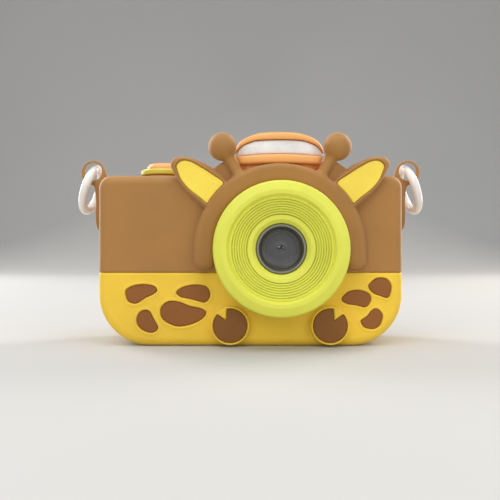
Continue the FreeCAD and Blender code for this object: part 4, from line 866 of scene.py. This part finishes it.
    # port cover with a finger notch and pin
    x, y, z, h = grid((47.2, -4.8, 25.4), (50.0, 4.8, 36.6), 0.2)
    d = box_field(x, y, z, (48.35, -4.6, 25.6), (49.85, 3.3, 36.4), 0.55)
    pin = np.sqrt((x - 49.1) ** 2 + (y - 3.85) ** 2) - 0.75
    pin = np.maximum(pin, np.abs(z - 31.0) - 5.4)
    d = smin(d, pin, 0.5)
    d = np.minimum(d, box_field(x, y, z, (47.4, -3.2, 26.8), (48.6, 1.6, 35.2), 0.3))
    scoop = np.sqrt((x - 52.3) ** 2 + (y + 5.2) ** 2 + ((z - 31.0) * 0.8) ** 2) - 3.2
    d = smax(d, -scoop, 0.5)
    surface("port_cover_flap", d, x, y, z, h, M["sleeve_brown"], "port_cover", "port_cover", faces=14000, sharp=45)


# --------------------------------------------------------------------- rings
def make_rings():
    for s, node, body in ((-1, "lanyard_ring_left", "lanyard_ring_left"), (1, "lanyard_ring_right", "lanyard_ring_right")):
        yaw, lean, clock = math.radians(5), math.radians(17), math.radians(35)
        hole = Vector((s * 54.9, 0, 58.8))
        up = Vector((-s * math.sin(lean), 0, math.cos(lean)))
        aft = Vector((-s * math.sin(yaw), math.cos(yaw), 0))
        aft = (aft - up * aft.dot(up)).normalized()
        cen = hole - up * (7.6 * math.cos(clock)) + aft * (7.6 * math.sin(clock))
        axis = up.cross(aft).normalized()
        prof = []
        for k in range(28):
            a = 2 * math.pi * k / 28
            rr = 1.5
            # faint mould parting lines inside and outside
            if k in (0, 14):
                rr = 1.475
            prof.append((7.6 + rr * math.cos(a), rr * math.sin(a)))
        lathe("ring_" + ("left" if s < 0 else "right"), prof, cen, axis, M["ring_white"], body, node, turns=120, sharp=None)


scene = bpy.context.scene
make_sleeve()
make_inlays()
make_case()
make_lens()
make_controls()
make_rings()

# ------------------------------------------------------------------- staging
scene = bpy.context.scene


def stage_material(name, rgb, rough):
    m = Mat(name)
    m.colour(m.ramp(m.noise(6.0), [(0.3, lin(shade(rgb, 0.99))), (0.7, lin(rgb))]))
    m.set(Roughness=rough, Specular_IOR_Level=0.25)
    return m.m


def make_stage():
    # floor that turns up into the backdrop
    verts, faces, prof = [], [], []
    prof = [(-1.2, 0.0), (0.55, 0.0)]
    for k in range(1, 13):
        a = math.pi / 2 * k / 12
        prof.append((0.55 + 0.5 * math.sin(a), 0.5 - 0.5 * math.cos(a)))
    prof.append((1.05, 2.4))
    for y, z in prof:
        verts += [(-2.2, y, z - 0.00005), (2.2, y, z - 0.00005)]
    for k in range(len(prof) - 1):
        faces.append((2 * k, 2 * k + 1, 2 * k + 3, 2 * k + 2))
    me = bpy.data.meshes.new("backdrop")
    me.from_pydata(verts, [], faces)
    me.polygons.foreach_set("use_smooth", [True] * len(me.polygons))
    ob = bpy.data.objects.new("backdrop", me)
    scene.collection.objects.link(ob)
    me.materials.append(stage_material("backdrop_pale", (196, 195, 192), 0.8))


def area(name, loc, look, size, power, rgb=(1, 1, 1)):
    light = bpy.data.lights.new(name, "AREA")
    light.shape = "RECTANGLE"
    light.size, light.size_y = size
    light.energy = power
    light.color = rgb
    ob = bpy.data.objects.new(name, light)
    ob.location = loc
    ob.rotation_euler = (Vector(look) - Vector(loc)).to_track_quat("-Z", "Y").to_euler()
    scene.collection.objects.link(ob)
    return ob


make_stage()
area("top_soft", (0.0, -0.16, 0.70), (0, 0, 0.03), (0.8, 0.6), 3.3)
area("front_fill", (-0.30, -0.72, 0.46), (0, 0, 0.03), (0.6, 0.5), 2.0)
area("front_right", (0.45, -0.6, 0.25), (0, 0, 0.03), (0.4, 0.4), 0.9)
area("rim_left", (-0.5, 0.35, 0.30), (0, 0, 0.04), (0.25, 0.6), 3.4)
area("rim_right", (0.5, 0.35, 0.30), (0, 0, 0.04), (0.25, 0.6), 3.4, (1.0, 0.93, 0.86))

world = bpy.data.worlds.new("soft_world")
world.use_nodes = True
world.node_tree.nodes["Background"].inputs["Color"].default_value = (0.82, 0.84, 0.88, 1)
world.node_tree.nodes["Background"].inputs["Strength"].default_value = 0.42
scene.world = world

cam = bpy.data.cameras.new("view")
cam.sensor_width = 36.0
cam.lens = 46.73
cam.shift_x = -0.001
cam.shift_y = -0.008
cam.clip_start = 0.01
cam_ob = bpy.data.objects.new("view", cam)
cam_ob.location = (0.0, -0.227, 0.0328)
cam_ob.rotation_euler = (math.radians(90), 0, 0)
scene.collection.objects.link(cam_ob)
scene.camera = cam_ob
scene.view_settings.view_transform = "Standard"
